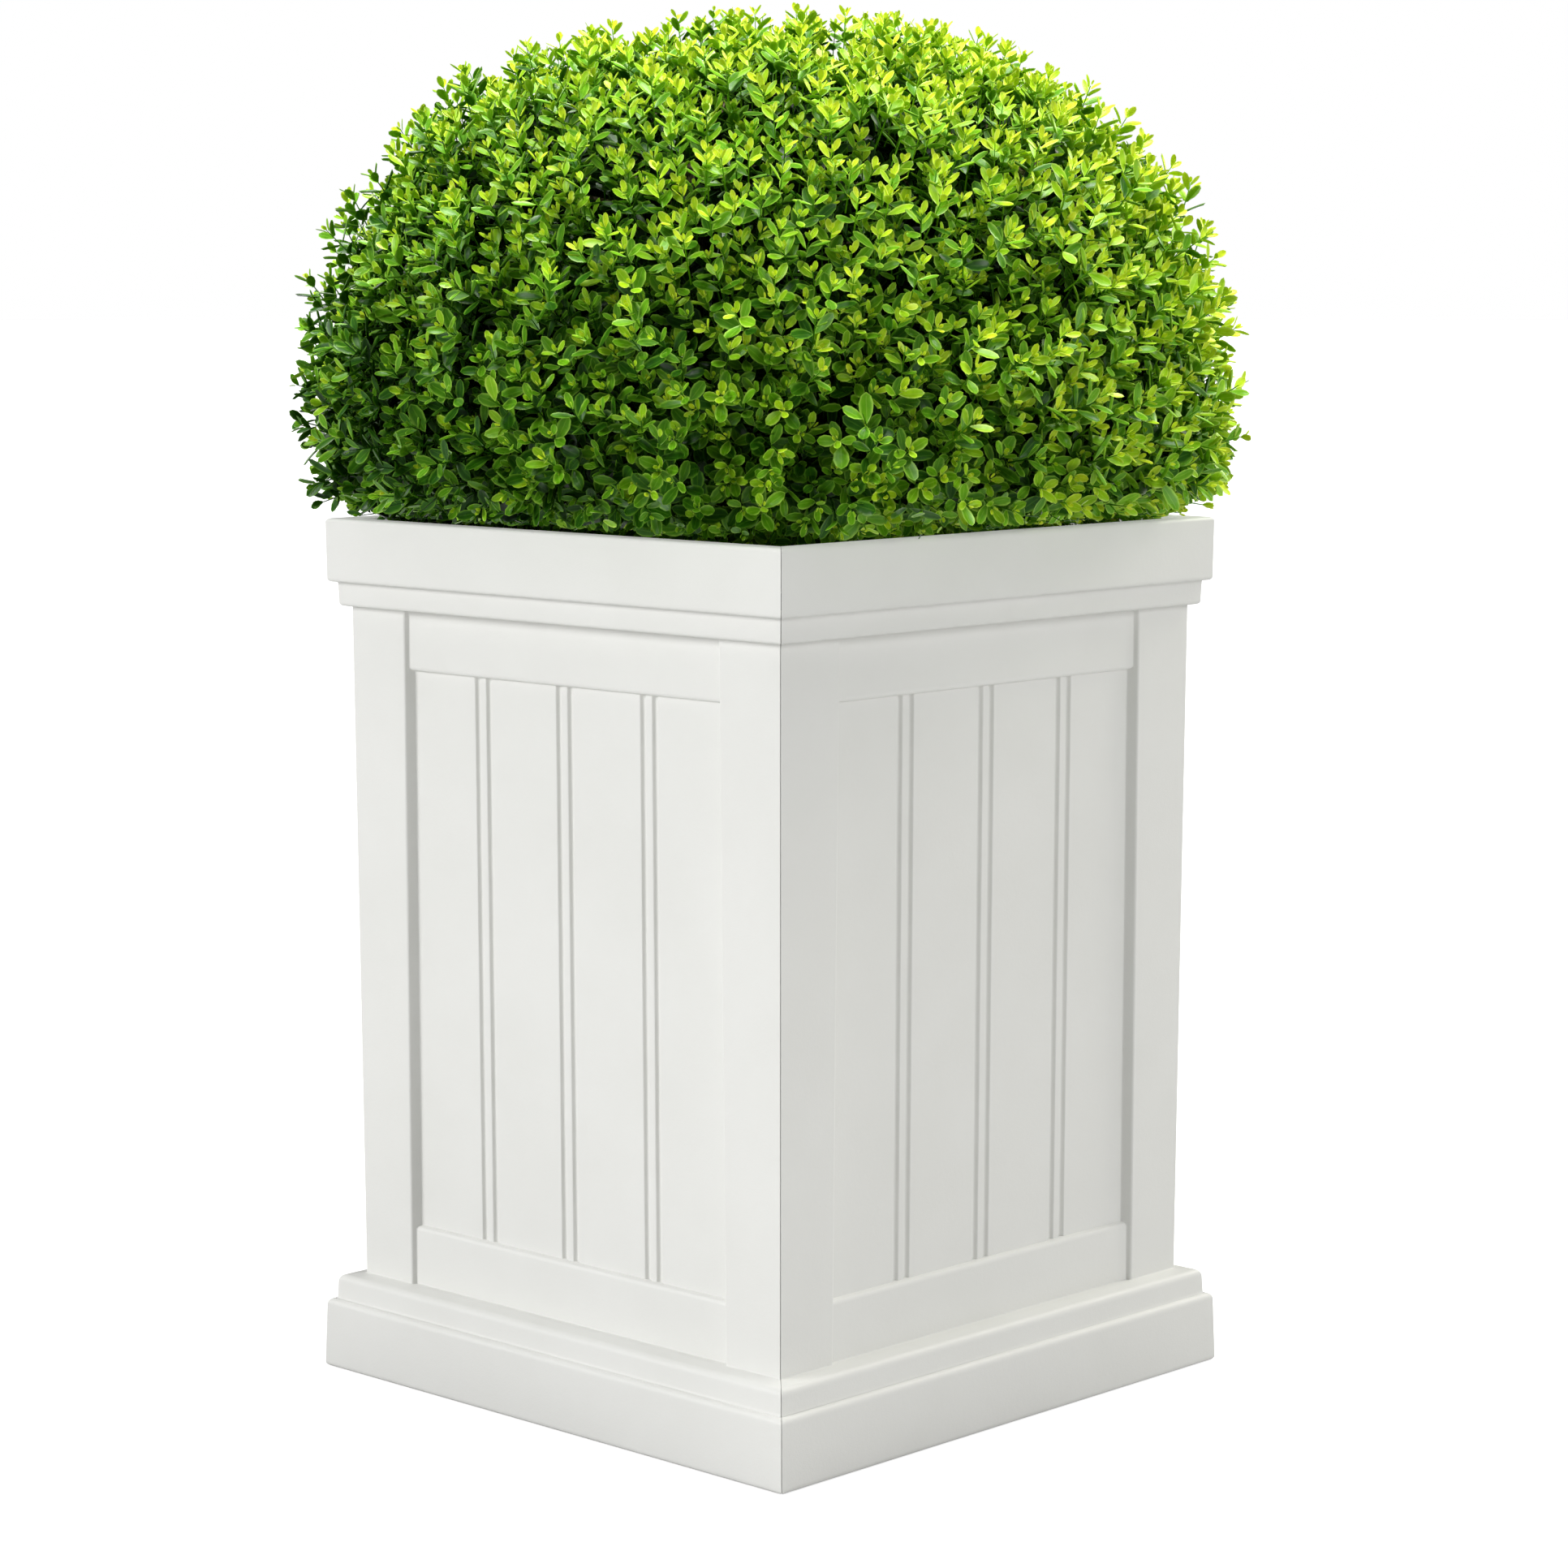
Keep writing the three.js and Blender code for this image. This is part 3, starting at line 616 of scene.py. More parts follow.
# %% Sink the grooves
PAIR_PITCH, GROOVE_SPACING = 92.8 * MM, 12.8 * MM
GROOVE_MOUTH, GROOVE_FLOOR, GROOVE_DEPTH = 6.2 * MM, 3.4 * MM, 3 * MM
groove_middles = [pair * PAIR_PITCH + side * GROOVE_SPACING / 2 for pair in (-1, 0, 1) for side in (-1, 1)]


def on_boards(middle, normal):
    """True for the faces of the field's boards."""
    return at_depth(middle, normal, FIELD_BACK)


def in_groove(middle, normal, depth):
    """True for the faces at a depth that lie between the two sides of a groove."""
    near = min(abs(middle.x - groove) for groove in groove_middles)
    return at_depth(middle, normal, depth) and near < GROOVE_FLOOR / 2


for groove in groove_middles:
    for side in (-1, 1):
        pick_faces(on_boards)
        bpy.ops.mesh.bisect(plane_co=(groove + side * GROOVE_MOUTH / 2, 0, 0), plane_no=(1, 0, 0))
count = pick_faces(lambda m, n: in_groove(m, n, FIELD_BACK))
extrude((0, GROOVE_DEPTH, 0))
GROOVE_BACK = FIELD_BACK + GROOVE_DEPTH
for groove in groove_middles:
    pick_faces(lambda m, n: in_groove(m, n, GROOVE_BACK) and abs(m.x - groove) < GROOVE_FLOOR)
    bpy.ops.transform.resize(value=(GROOVE_FLOOR / GROOVE_MOUTH, 1, 1), center_override=(groove, 0, 0))
bpy.ops.object.mode_set(mode="OBJECT")
print("grooves", count, "open edges", open_edges(wall))

# %% [markdown]
# ## Soft edges
#
# Nothing that comes out of a mould has a knife edge. The light on a rounded edge is also what makes white
# plastic readable, because there is hardly any colour to tell one face from the next. Bevelling edge by
# edge spoils the corners where they meet, so each kind of edge is given a weight, and one bevel modifier
# rounds them all at once, each as much as its weight says.

# %% Round the edges of the frame and of the grooves
ROUND_RAIL, ROUND_STILE, ROUND_CORNER = 3 * MM, 1.6 * MM, 0.9 * MM
ROUND_MOUTH, ROUND_FLOOR = 0.8 * MM, 1.1 * MM
ROUND_FRAME_STEPS = 3
NEAR, NEAR_STILE = 0.2 * MM, 6 * MM


def depth_of(point):
    """How far a point lies behind the stiles' face."""
    return point.y + face_out(point.z)


def upright_at(a, b, depth, beside):
    """True for an edge that runs up the wall at a depth, if beside is true for both its ends."""
    steep = abs(a.z - b.z) > abs(a.x - b.x)
    return steep and all(abs(depth_of(p) - depth) < NEAR and beside(p) for p in (a, b))


def beside_stile(p):
    """True for a point near a stile's inner edge."""
    return abs(abs(p.x) - field_mid) < NEAR_STILE


def beside_groove(offset):
    """A test that is true for a point at a distance from a groove's middle."""
    return lambda p: min(abs(abs(p.x - groove) - offset) for groove in groove_middles) < NEAR


def along_rail(a, b):
    """True for an edge that runs along a rail, where the rail meets the field."""
    return any(all(abs(depth_of(p) - RAIL_BACK) < NEAR and abs(p.z - height) < NEAR for p in (a, b))
               for height in (RAIL_FOOT_TOP, RAIL_TOP_FLOOR))


def along_wall_at(a, b, height, out):
    """True for an edge that runs along the wall at a height, no further out than out."""
    level = abs(a.x - b.x) > abs(a.y - b.y)
    return level and all(abs(p.z - height) < NEAR and p.y > -out - NEAR for p in (a, b))


def weigh(radius, wanted):
    """Give the edges that pass a test the bevel weight for a radius."""
    count = pick_edges(wanted)
    bpy.ops.transform.edge_bevelweight(value=radius / ROUND_RAIL)
    return count


work_on(wall)
weighed = [
    weigh(ROUND_RAIL, along_rail),
    weigh(ROUND_STILE, lambda a, b: upright_at(a, b, 0, beside_stile)),
    weigh(ROUND_CORNER, lambda a, b: upright_at(a, b, RAIL_BACK, beside_stile)),
    weigh(ROUND_CORNER, lambda a, b: upright_at(a, b, FIELD_BACK, beside_stile)),
    weigh(ROUND_MOUTH, lambda a, b: upright_at(a, b, FIELD_BACK, beside_groove(GROOVE_MOUTH / 2))),
    weigh(ROUND_FLOOR, lambda a, b: upright_at(a, b, GROOVE_BACK, beside_groove(GROOVE_FLOOR / 2))),
    weigh(ROUND_CORNER, lambda a, b: along_wall_at(a, b, PLINTH_TOP, face_out(PLINTH_TOP))),
    weigh(ROUND_CORNER, lambda a, b: along_wall_at(a, b, BAND_FLOOR, FACE_TOP)),
]
add_modifier(wall, "BEVEL", width=ROUND_RAIL, segments=ROUND_FRAME_STEPS, limit_method="WEIGHT",
             use_clamp_overlap=False)
print("edges weighed", weighed, "open edges", open_edges(wall))

# %% [markdown]
# ## The mitres
#
# The four walls meet like the sides of a picture frame, each cut off at half a right angle. The hairline
# that runs down the real corner is the gap between two of them. The cut is two bisections that throw away
# what lies outside and fill the open end. Only the edges of the cut that show are then eased, because the
# inner ones are never seen and the thin skins there leave no room for it.

# %% Cut the mitres and ease their edges
MITRE_GAP, MITRE_ROUND, MITRE_STEPS = 0.3 * MM, 1.0 * MM, 3
mitre_cut = MITRE_GAP / math.sqrt(2)


def outer_face(z):
    """How far out the wall's visible surface is at a height."""
    if z > RIM_FLOOR:
        return RIM_HALF
    if z > BAND_FLOOR:
        return BAND_HALF
    if z > PLINTH_TOP:
        return face_out(z)
    return PLINTH_HIGH_HALF if z > PLINTH_LOW_TOP else PLINTH_HALF


def on_mitre(p):
    """True for a point on the plane of a cut."""
    return abs(abs(p.x) + p.y + mitre_cut) < 2 * HAIR


def shows_on_mitre(a, b):
    """True for an edge of the cut that lies on the wall's visible side and not inside its skin."""
    return all(on_mitre(p) and -p.y > outer_face(p.z - HAIR) - SKIN + 10 * HAIR for p in (a, b))


work_on(wall)
for side in (-1, 1):
    bpy.ops.mesh.select_all(action="SELECT")
    bpy.ops.mesh.bisect(plane_co=(0, -mitre_cut, 0), plane_no=(side, 1, 0), use_fill=True, clear_outer=True)
count = pick_edges(shows_on_mitre)
bpy.ops.mesh.bevel(offset=MITRE_ROUND, segments=MITRE_STEPS, affect="EDGES")
finish_mesh(wall)
add_modifier(wall, "WEIGHTED_NORMAL", keep_sharp=True)
wall.data.materials.append(white_plastic)
print("mitre edges eased", count)

# %% [markdown]
# ## Four walls from one
#
# The planter is square, so its walls are alike. The finished wall is duplicated with a mesh of its own for
# each of the other sides, and each copy is turned by quarters about the planter's middle. The turn is then
# applied, which leaves the object itself unturned, as the frame's nodes are.

# %% Copy the wall to the other three sides
SIDES = ("front", "right", "back", "left")


def copy_of(pattern, name):
    """A copy with its own mesh."""
    select_only(pattern)
    bpy.ops.object.duplicate()
    return named(name)


def turn_to_side(piece, quarter):
    """Turn the selected piece by quarters about the planter's middle, anticlockwise seen from above."""
    piece.rotation_euler.z = quarter * math.pi / 2
    bpy.ops.object.transform_apply(rotation=True)


walls = [wall]
for quarter, side in enumerate(SIDES[1:], start=1):
    walls.append(copy_of(wall, f"{side}_panel"))
    turn_to_side(walls[-1], quarter)
for side, panel in zip(SIDES, walls):
    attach(panel, PLANTER)
    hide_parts(f"{side}_wall")
print("walls", [w.name for w in walls])

# %% [markdown]
# ## The parts inside
#
# The posts, the angles, the shelf and the base panel are plain mouldings that the leaves and the walls
# hide. Their frame parts have the right shape already, so they stay and only get the inner plastic. What
# shows when the plant is lifted out gets a better model: the pot, the soil in it, the stems, and the screws
# with their driver slots.

# %% Give the plain inner parts their plastic
PLAIN = [name for name in nodes if name.endswith(("_post", "_angle")) or name in ("base_panel", "pot_shelf")]
for name in PLAIN:
    for slot in nodes[name].material_slots:
        slot.material = inner_plastic
print("plain inner parts", len(PLAIN))

# %% [markdown]
# ## The screws
#
# A screw head is turned on a lathe and its cross is pressed in. The head's outline could be spun, but a
# cylinder whose end is inset and drawn out gives the same with fewer steps, and a second, crossed cutter
# presses the slot. One screw is modelled for the front wall and copied to every place that the frame gives.

# %% Model one screw
first_low, first_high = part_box("front_screw_1")
SCREW_HEAD_RADIUS = (first_high.x - first_low.x) / 2
SCREW_SHANK_RADIUS, SCREW_CROWN_RADIUS = 1.9 * MM, 2.9 * MM
SCREW_HEAD_HEIGHT, SCREW_RIM_HEIGHT, SCREW_TIP = 2.6 * MM, 1.3 * MM, 3 * MM
SCREW_CROWN_ROUND = 0.5 * MM
SCREW_POINT = 0.1  # the point's radius, as a share of the shank's
SCREW_SIDES = 20
SLOT_LENGTH, SLOT_WIDTH, SLOT_DEPTH = 4.4 * MM, 0.95 * MM, 1.5 * MM
head_top, shank_end = first_high.y, first_low.y
seat = head_top - SCREW_HEAD_HEIGHT


def new_cylinder(name, sides, radius, start, end):
    """A cylinder along Y from start to end, open for editing."""
    start_clean()
    bpy.ops.mesh.primitive_cylinder_add(
        vertices=sides, radius=radius, depth=abs(end - start), location=(0, (start + end) / 2, 0),
        rotation=(math.pi / 2, 0, 0))
    piece = named(name)
    bpy.ops.object.transform_apply(location=True, rotation=True)
    work_on(piece)
    return piece


def draw_out(offset, scale, centre):
    """Extrude the selected end face and shrink it."""
    extrude((0, offset, 0))
    bpy.ops.transform.resize(value=(scale, 1, scale), center_override=(0, centre, 0))


def cut_out_of(piece):
    """Cut the primitive that was just added out of a piece, then remove it."""
    cutter = bpy.context.active_object
    add_modifier(piece, "BOOLEAN", operation="DIFFERENCE", solver="EXACT", object=cutter)
    bpy.data.objects.remove(cutter)


screw = new_cylinder("screw", SCREW_SIDES, SCREW_HEAD_RADIUS, seat, seat + SCREW_RIM_HEIGHT)
pick_faces(lambda m, n: n.y > FACING)
draw_out(SCREW_HEAD_HEIGHT - SCREW_RIM_HEIGHT, SCREW_CROWN_RADIUS / SCREW_HEAD_RADIUS, head_top)
bpy.ops.mesh.bevel(offset=SCREW_CROWN_ROUND, segments=2, affect="EDGES")
pick_faces(lambda m, n: n.y < -FACING)
bpy.ops.mesh.inset(thickness=SCREW_HEAD_RADIUS - SCREW_SHANK_RADIUS)
extrude((0, shank_end + SCREW_TIP - seat, 0))
draw_out(-SCREW_TIP, SCREW_POINT, shank_end)
for wide, high in ((SLOT_LENGTH, SLOT_WIDTH), (SLOT_WIDTH, SLOT_LENGTH)):
    start_clean()
    bpy.ops.mesh.primitive_cube_add(size=1, location=(0, head_top, 0), scale=(wide, 2 * SLOT_DEPTH, high))
    cut_out_of(screw)
finish_mesh(screw, 40)
screw.data.materials.append(steel)

# %% [markdown]
# The frame's screws say where each copy goes. A screw's name tells its wall. Its place is first turned back
# to the front wall, the copy is moved there, and then it is turned to its own side with its place.

# %% Copy the screw to its places
def quarter_turn(point, quarter):
    """A point turned by quarters about the planter's middle, anticlockwise seen from above."""
    x, y = point
    return ((x, y), (-y, x), (-x, -y), (y, -x))[quarter % 4]


screw_names = [name for name in nodes if "_screw_" in name]
for name in screw_names:
    low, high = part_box(name)
    quarter = SIDES.index(name.split("_")[0])
    along, _ = quarter_turn(((low.x + high.x) / 2, (low.y + high.y) / 2), -quarter)
    copy = copy_of(screw, name.replace("screw", "panel_screw"))
    copy.location = (along, 0, (low.z + high.z) / 2)
    bpy.ops.object.transform_apply(location=True)
    turn_to_side(copy, quarter)
    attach(copy, PLANTER)
    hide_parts(name)
bpy.data.objects.remove(screw)
print("screws", len(screw_names))

# %% [markdown]
# ## The grower's pot
#
# A grower's pot is one thin skin, blow-moulded and round, with a stiff band at its rim and a small hoop
# lower down. Everything on it except the drains is the same all the way round, so its section is drawn once
# and spun. The drains are cut afterwards.

# %% Spin the pot
pot_low, pot_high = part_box("grower_pot")
POT_FLOOR, POT_TOP, POT_RIM = pot_low.z, pot_high.z, pot_high.x
POT_BEAD, POT_TAPER, POT_WALL, BAND_HEIGHT = 5 * MM, 36 * MM, 3 * MM, 24 * MM
HOOP_DROP, HOOP_PROUD, HOOP_CREST, HOOP_FOOT = 62 * MM, 1.6 * MM, 1.4 * MM, 3 * MM
EDGE = 0.8 * MM
RING_INNER, RING_OUTER = 14 * MM, 13 * MM  # the pot stands on a ring, which ends this far in from its foot
DRAIN_RADIUS, DRAIN_INSET, DRAINS, DRAIN_SIDES = 8 * MM, 49 * MM, 6, 24
TURNS = 72
pot_foot = POT_RIM - POT_BEAD - POT_TAPER


def pot_radius(z):
    """The outside radius of the pot's plain wall at a height."""
    return pot_foot + POT_TAPER * (z - POT_FLOOR) / (POT_TOP - POT_FLOOR)


def turn_round(name, profile):
    """Spin a section, given as distances from the axis and heights, into a closed round piece."""
    piece = draw_outline(name, [(out, 0, up) for out, up in profile], fill=False)
    bpy.ops.mesh.select_all(action="SELECT")
    bpy.ops.mesh.spin(steps=TURNS, angle=2 * math.pi, center=(0, 0, 0), axis=(0, 0, 1))
    bpy.ops.mesh.select_all(action="SELECT")
    bpy.ops.mesh.remove_doubles(threshold=2 * HAIR)
    bpy.ops.mesh.normals_make_consistent(inside=False)
    bpy.ops.object.mode_set(mode="OBJECT")
    return piece


hoop, band = POT_TOP - HOOP_DROP, POT_TOP - BAND_HEIGHT
inner_top, inner_floor = POT_RIM - POT_BEAD - POT_WALL, POT_FLOOR + POT_WALL
crest = pot_radius(hoop) + HOOP_PROUD
pot = turn_round("growers_pot", [
    (0, POT_FLOOR + EDGE), (pot_foot - RING_INNER, POT_FLOOR + EDGE), (pot_foot - RING_OUTER, POT_FLOOR),
    (pot_foot - EDGE, POT_FLOOR), (pot_foot, POT_FLOOR + EDGE),
    (pot_radius(hoop) - 0.1 * MM, hoop - HOOP_FOOT), (crest, hoop - HOOP_CREST),
    (crest, hoop + HOOP_CREST), (pot_radius(hoop) + 0.2 * MM, hoop + HOOP_FOOT),
    (pot_radius(band) - 0.1 * MM, band), (POT_RIM - EDGE, band), (POT_RIM, band + EDGE),
    (POT_RIM, POT_TOP - EDGE), (POT_RIM - EDGE, POT_TOP), (inner_top + EDGE, POT_TOP),
    (inner_top, POT_TOP - EDGE), (pot_radius(inner_floor) - POT_WALL, inner_floor), (0, inner_floor)])
for number in range(DRAINS):
    around = number * 2 * math.pi / DRAINS
    drain_at = (pot_foot - DRAIN_INSET) * Vector((math.cos(around), math.sin(around), 0))
    start_clean()
    bpy.ops.mesh.primitive_cylinder_add(
        vertices=DRAIN_SIDES, radius=DRAIN_RADIUS, depth=6 * POT_WALL,
        location=drain_at + Vector((0, 0, POT_FLOOR)),
        rotation=(0, 0, around + math.pi / DRAIN_SIDES))  # so that no corner lies on an edge of the floor
    cut_out_of(pot)
finish_mesh(pot, 30)
pot.data.materials.append(pot_plastic)
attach(pot, PLANT)
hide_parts("grower_pot")

# %% [markdown]
# ## The potting mix
#
# The soil fills the pot to a little below its rim. Its section is spun in the same way, with many rings
# across the top, and a displace modifier then roughens that top only. A vertex group says how much each
# ring may move, so that the crumbs never push through the pot's wall.

# %% Spin the soil and roughen its top
soil_low, soil_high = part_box("potting_mix")
SOIL_RINGS, SOIL_ROUGHNESS, SOIL_HOLLOW, CRUMB = 26, 7 * MM, 2.5 * MM, 12 * MM
soil_top, soil_edge = soil_high.z - SOIL_HOLLOW, soil_high.x
soil_foot = soil_edge - POT_TAPER * (soil_high.z - soil_low.z) / (POT_TOP - POT_FLOOR)
rings = [(soil_edge * (1 - ring / SOIL_RINGS), soil_top) for ring in range(SOIL_RINGS + 1)]
mix_piece = turn_round("loose_soil", [(0, soil_low.z), (soil_foot, soil_low.z)] + rings)
loose = mix_piece.vertex_groups.new(name="loose")
for point in mix_piece.data.vertices:
    out = math.hypot(point.co.x, point.co.y)
    if abs(point.co.z - soil_top) < 10 * HAIR:
        loose.add([point.index], max(0, min(1, (soil_edge - out) / CRUMB)), "REPLACE")
clods = bpy.data.textures.new("clods", "CLOUDS")
clods.noise_scale = CRUMB
clods.noise_depth = 4
add_modifier(mix_piece, "DISPLACE", texture=clods, direction="Z", strength=SOIL_ROUGHNESS, mid_level=0.5,
             texture_coords="LOCAL", vertex_group="loose")
finish_mesh(mix_piece, 60)
mix_piece.data.materials.append(soil)
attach(mix_piece, PLANT)
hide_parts("potting_mix")

# %% [markdown]
# ## The stems
#
# Old box stems are thin for their age, knotty and never quite straight. Each one starts as a circle just
# under the soil. It is extruded step by step towards its top, and every step goes a little astray and
# changes its thickness.

# %% Grow the stems
rng = np.random.default_rng(27)
STEM_FOOT, STEM_TOP, STEM_ROOT, STEM_STEPS = 9 * MM, 5 * MM, 12 * MM, 9
STEM_RING, STEM_LEAN, STEM_SIDES = 30 * MM, math.radians(36), 10
STEM_STRAY = 2.2 * MM  # how far a knot goes astray
LEANING = 6
stem_lines = []


def grow_stem(name, foot, top):
    """A knotty stem from foot to top."""
    heading = (top - foot).normalized()
    start_clean()
    bpy.ops.mesh.primitive_circle_add(
        vertices=STEM_SIDES, radius=STEM_FOOT, fill_type="NGON", location=foot,
        rotation=heading.to_track_quat("Z", "Y").to_euler())
    stem = named(name)
    bpy.ops.object.transform_apply(location=True, rotation=True)
    work_on(stem)
    bpy.ops.mesh.select_all(action="SELECT")
    here, radius, line = foot, STEM_FOOT, [foot]
    for step in range(1, STEM_STEPS + 1):
        share = step / STEM_STEPS
        stray = Vector(rng.normal(0, STEM_STRAY, 3)) if step < STEM_STEPS else Vector((0, 0, 0))
        there = foot.lerp(top, share) + stray
        wanted = (STEM_FOOT + (STEM_TOP - STEM_FOOT) * share) * rng.uniform(0.88, 1.08)
        extrude(there - here)
        bpy.ops.transform.resize(value=(wanted / radius,) * 3, center_override=there)
        here, radius = there, wanted
        line.append(there)
    finish_mesh(stem, 50)
    stem.data.materials.append(bark)
    stem_lines.append(line)
    return stem


middle_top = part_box("middle_stem")[1].z
lean_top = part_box("leaning_stem_1")[1].z - STEM_TOP * math.sin(STEM_LEAN)
lean_reach = (lean_top - soil_top) * math.tan(STEM_LEAN)
stem_foot = Vector((0, 0, soil_top - STEM_ROOT))
stems = {"middle_stem": (stem_foot, Vector((0, 0, middle_top)))}
for number in range(LEANING):
    around = number * 2 * math.pi / LEANING
    outward = Vector((math.cos(around), math.sin(around), 0))
    root = outward * (STEM_RING - STEM_ROOT * math.tan(STEM_LEAN)) + stem_foot
    tip = outward * (STEM_RING + lean_reach) + Vector((0, 0, lean_top))
    stems[f"leaning_stem_{number + 1}"] = (root, tip)
for name, (foot, top) in stems.items():
    stem = grow_stem(name.replace("stem", "trunk"), foot, top)
    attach(stem, PLANT)
    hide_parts(name)

# %% [markdown]
# ## One box leaf and one twig
#
# A box leaf is a small oval blade, widest a little past its middle, with a shallow fold along its midrib.
# There will be tens of thousands of them, so one leaf may have only a few faces, and each has to earn its
# place. A grid gives the rows, every row is drawn in to the leaf's width there, and the two end rows are
# merged to a point. Then the middle column is pressed down for the fold. A copy turned over closes the
# blade, so that every leaf is a thin solid and not a sheet of paper without a back. A twig is a three-sided
# stick, thinner at its tip.

# %% Model the leaf and the twig
LEAF_ROWS = (  # a place along the blade, and the blade's width there
    (0.0, 0.0), (0.14, 0.40), (0.38, 0.88), (0.64, 1.0), (0.88, 0.68), (1.0, 0.0))
LEAF_FOLD, LEAF_THICKNESS = 0.05, 0.022  # as shares of the leaf's length
TWIG_TIP = 0.45  # a twig's thickness at its tip, as a share of that at its foot

start_clean()
bpy.ops.mesh.primitive_grid_add(
    x_subdivisions=2, y_subdivisions=len(LEAF_ROWS) - 1, size=1, location=(0, 0.5, 0))
leaf = bpy.context.active_object
bpy.ops.object.transform_apply(location=True)
work_on(leaf)
bpy.ops.mesh.select_mode(type="VERT")


def pick_points(wanted, among_selected=False):
    """In edit mode, select only the vertices that pass a test."""
    shape = bmesh.from_edit_mesh(bpy.context.edit_object.data)
    chosen = [v for v in shape.verts if wanted(v.co) and (v.select or not among_selected)]
    bpy.ops.mesh.select_all(action="DESELECT")
    for point in chosen:
        point.select_set(True)
    bmesh.update_edit_mesh(bpy.context.edit_object.data)


def on_midrib(p):
    """True for a point on the blade's middle line, apart from the two ends."""
    return abs(p.x) < 0.01 and 0.01 < p.y < 0.99


row_gap = 1 / (len(LEAF_ROWS) - 1)
for row in reversed(range(len(LEAF_ROWS))):
    along, width = LEAF_ROWS[row]
    pick_points(lambda p: abs(p.y - row * row_gap) < row_gap / 20)
    if width:
        bpy.ops.transform.resize(value=(width, 1, 1), center_override=(0, row * row_gap, 0))
    else:
        bpy.ops.mesh.merge(type="CENTER")
    bpy.ops.transform.translate(value=(0, along - row * row_gap, 0))
pick_points(on_midrib)
bpy.ops.transform.translate(value=(0, 0, -LEAF_FOLD))
bpy.ops.mesh.select_all(action="SELECT")
bpy.ops.mesh.duplicate()
bpy.ops.mesh.flip_normals()
pick_points(on_midrib, among_selected=True)
bpy.ops.transform.translate(value=(0, 0, -LEAF_THICKNESS))
bpy.ops.mesh.select_all(action="SELECT")
bpy.ops.mesh.remove_doubles(threshold=LEAF_THICKNESS / 20)

start_clean()
bpy.ops.mesh.primitive_circle_add(vertices=3, radius=1, fill_type="NGON")
twig = bpy.context.active_object
work_on(twig)
extrude((0, 0, 1))
bpy.ops.transform.resize(value=(TWIG_TIP, TWIG_TIP, 1), center_override=(0, 0, 1))
bpy.ops.mesh.select_all(action="SELECT")
bpy.ops.mesh.normals_make_consistent(inside=False)
bpy.ops.object.mode_set(mode="OBJECT")


def pattern_of(piece):
    """A small shape's points and faces, to be repeated, and whether it is closed."""
    points = np.array([v.co for v in piece.data.vertices])
    faces = [tuple(face.vertices) for face in piece.data.polygons]
    print(piece.name, len(points), "points", len(faces), "faces, open edges", open_edges(piece))
    bpy.data.objects.remove(piece)
    return points, faces


leaf_points, leaf_faces = pattern_of(leaf)
twig_points, twig_faces = pattern_of(twig)
leaf_edge = np.array([0.0 if on_midrib(Vector(point)) else 1.0 for point in leaf_points])
TWIG_EDGE = 0.2  # a twig has neither a margin nor a midrib

# %% [markdown]
# ## Where the sprigs stand
#
# The plant is clipped, so its sprigs end close to one smooth surface: a dome, fuller than a ball and
# flatter on top, that turns in again above the rim. Scattering the sprigs at random leaves clumps and
# holes. A golden-angle spiral, with rings that hold equal areas, spreads them evenly, and a little jitter
# hides the pattern. Most sprigs stop at the surface, and some have grown past it since the last clipping.

# %% Spread points over the dome
leaf_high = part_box("box_foliage")[1]
DOME_RADIUS, DOME_TOP = leaf_high.x, leaf_high.z
BELLY, BELLY_DEPTH, DOME_POWER = TOP + 71 * MM, 154 * MM, 2.4
HEM = TOP + 13 * MM
GOLDEN = math.pi * (3 - math.sqrt(5))
SECTION_STEPS = 4000  # into how many rings the dome is cut to measure its area


def unit(vectors):
    """Vectors with their lengths made 1."""
    return vectors / np.linalg.norm(vectors, axis=-1, keepdims=True)


def round_about(angles, radii, heights):
    """Points at angles, distances from the middle and heights."""
    return np.column_stack([np.cos(angles) * radii, np.sin(angles) * radii, heights])


def dome_radius(z):
    """The dome's radius at heights z."""
    depth = np.where(z > BELLY, DOME_TOP - BELLY, BELLY_DEPTH)
    share = np.clip(np.abs(z - BELLY) / depth, 0, 1)
    return DOME_RADIUS * (1 - share ** DOME_POWER) ** (1 / DOME_POWER)


def spread(count, low, high, jitter):
    """Even places on the dome between two heights: points and outward directions."""
    z = np.linspace(low, high, SECTION_STEPS)
    r = dome_radius(z)
    area = np.concatenate([[0], np.cumsum((r[1:] + r[:-1]) / 2 * np.hypot(np.diff(r), np.diff(z)))])
    at = np.interp((np.arange(count) + 0.5) / count * area[-1], area, z)
    at = np.clip(at + rng.normal(0, jitter, count), low, high)
    around = np.arange(count) * GOLDEN + rng.normal(0, jitter, count) / np.maximum(dome_radius(at), 0.05)
    radius = dome_radius(at)
    depth = np.where(at > BELLY, DOME_TOP - BELLY, BELLY_DEPTH)
    out = (radius / DOME_RADIUS) ** (DOME_POWER - 1) / DOME_RADIUS
    up = np.sign(at - BELLY) * (np.abs(at - BELLY) / depth) ** (DOME_POWER - 1) / depth
    return round_about(around, radius, at), unit(round_about(around, out, up))


print("dome radius", round(DOME_RADIUS, 4), "top", round(DOME_TOP, 4))

# %% [markdown]
# ## Sprigs
#
# A box sprig carries its leaves in pairs, each pair turned a quarter from the last. The leaves near the tip
# are young: short, narrow, nearly upright and yellow-green. Further down they are longer, rounder, darker
# and open out. Sprigs grow away from the dome and a little upwards, so that from the front one looks into
# the low ones as rosettes and sees the high ones from the side.

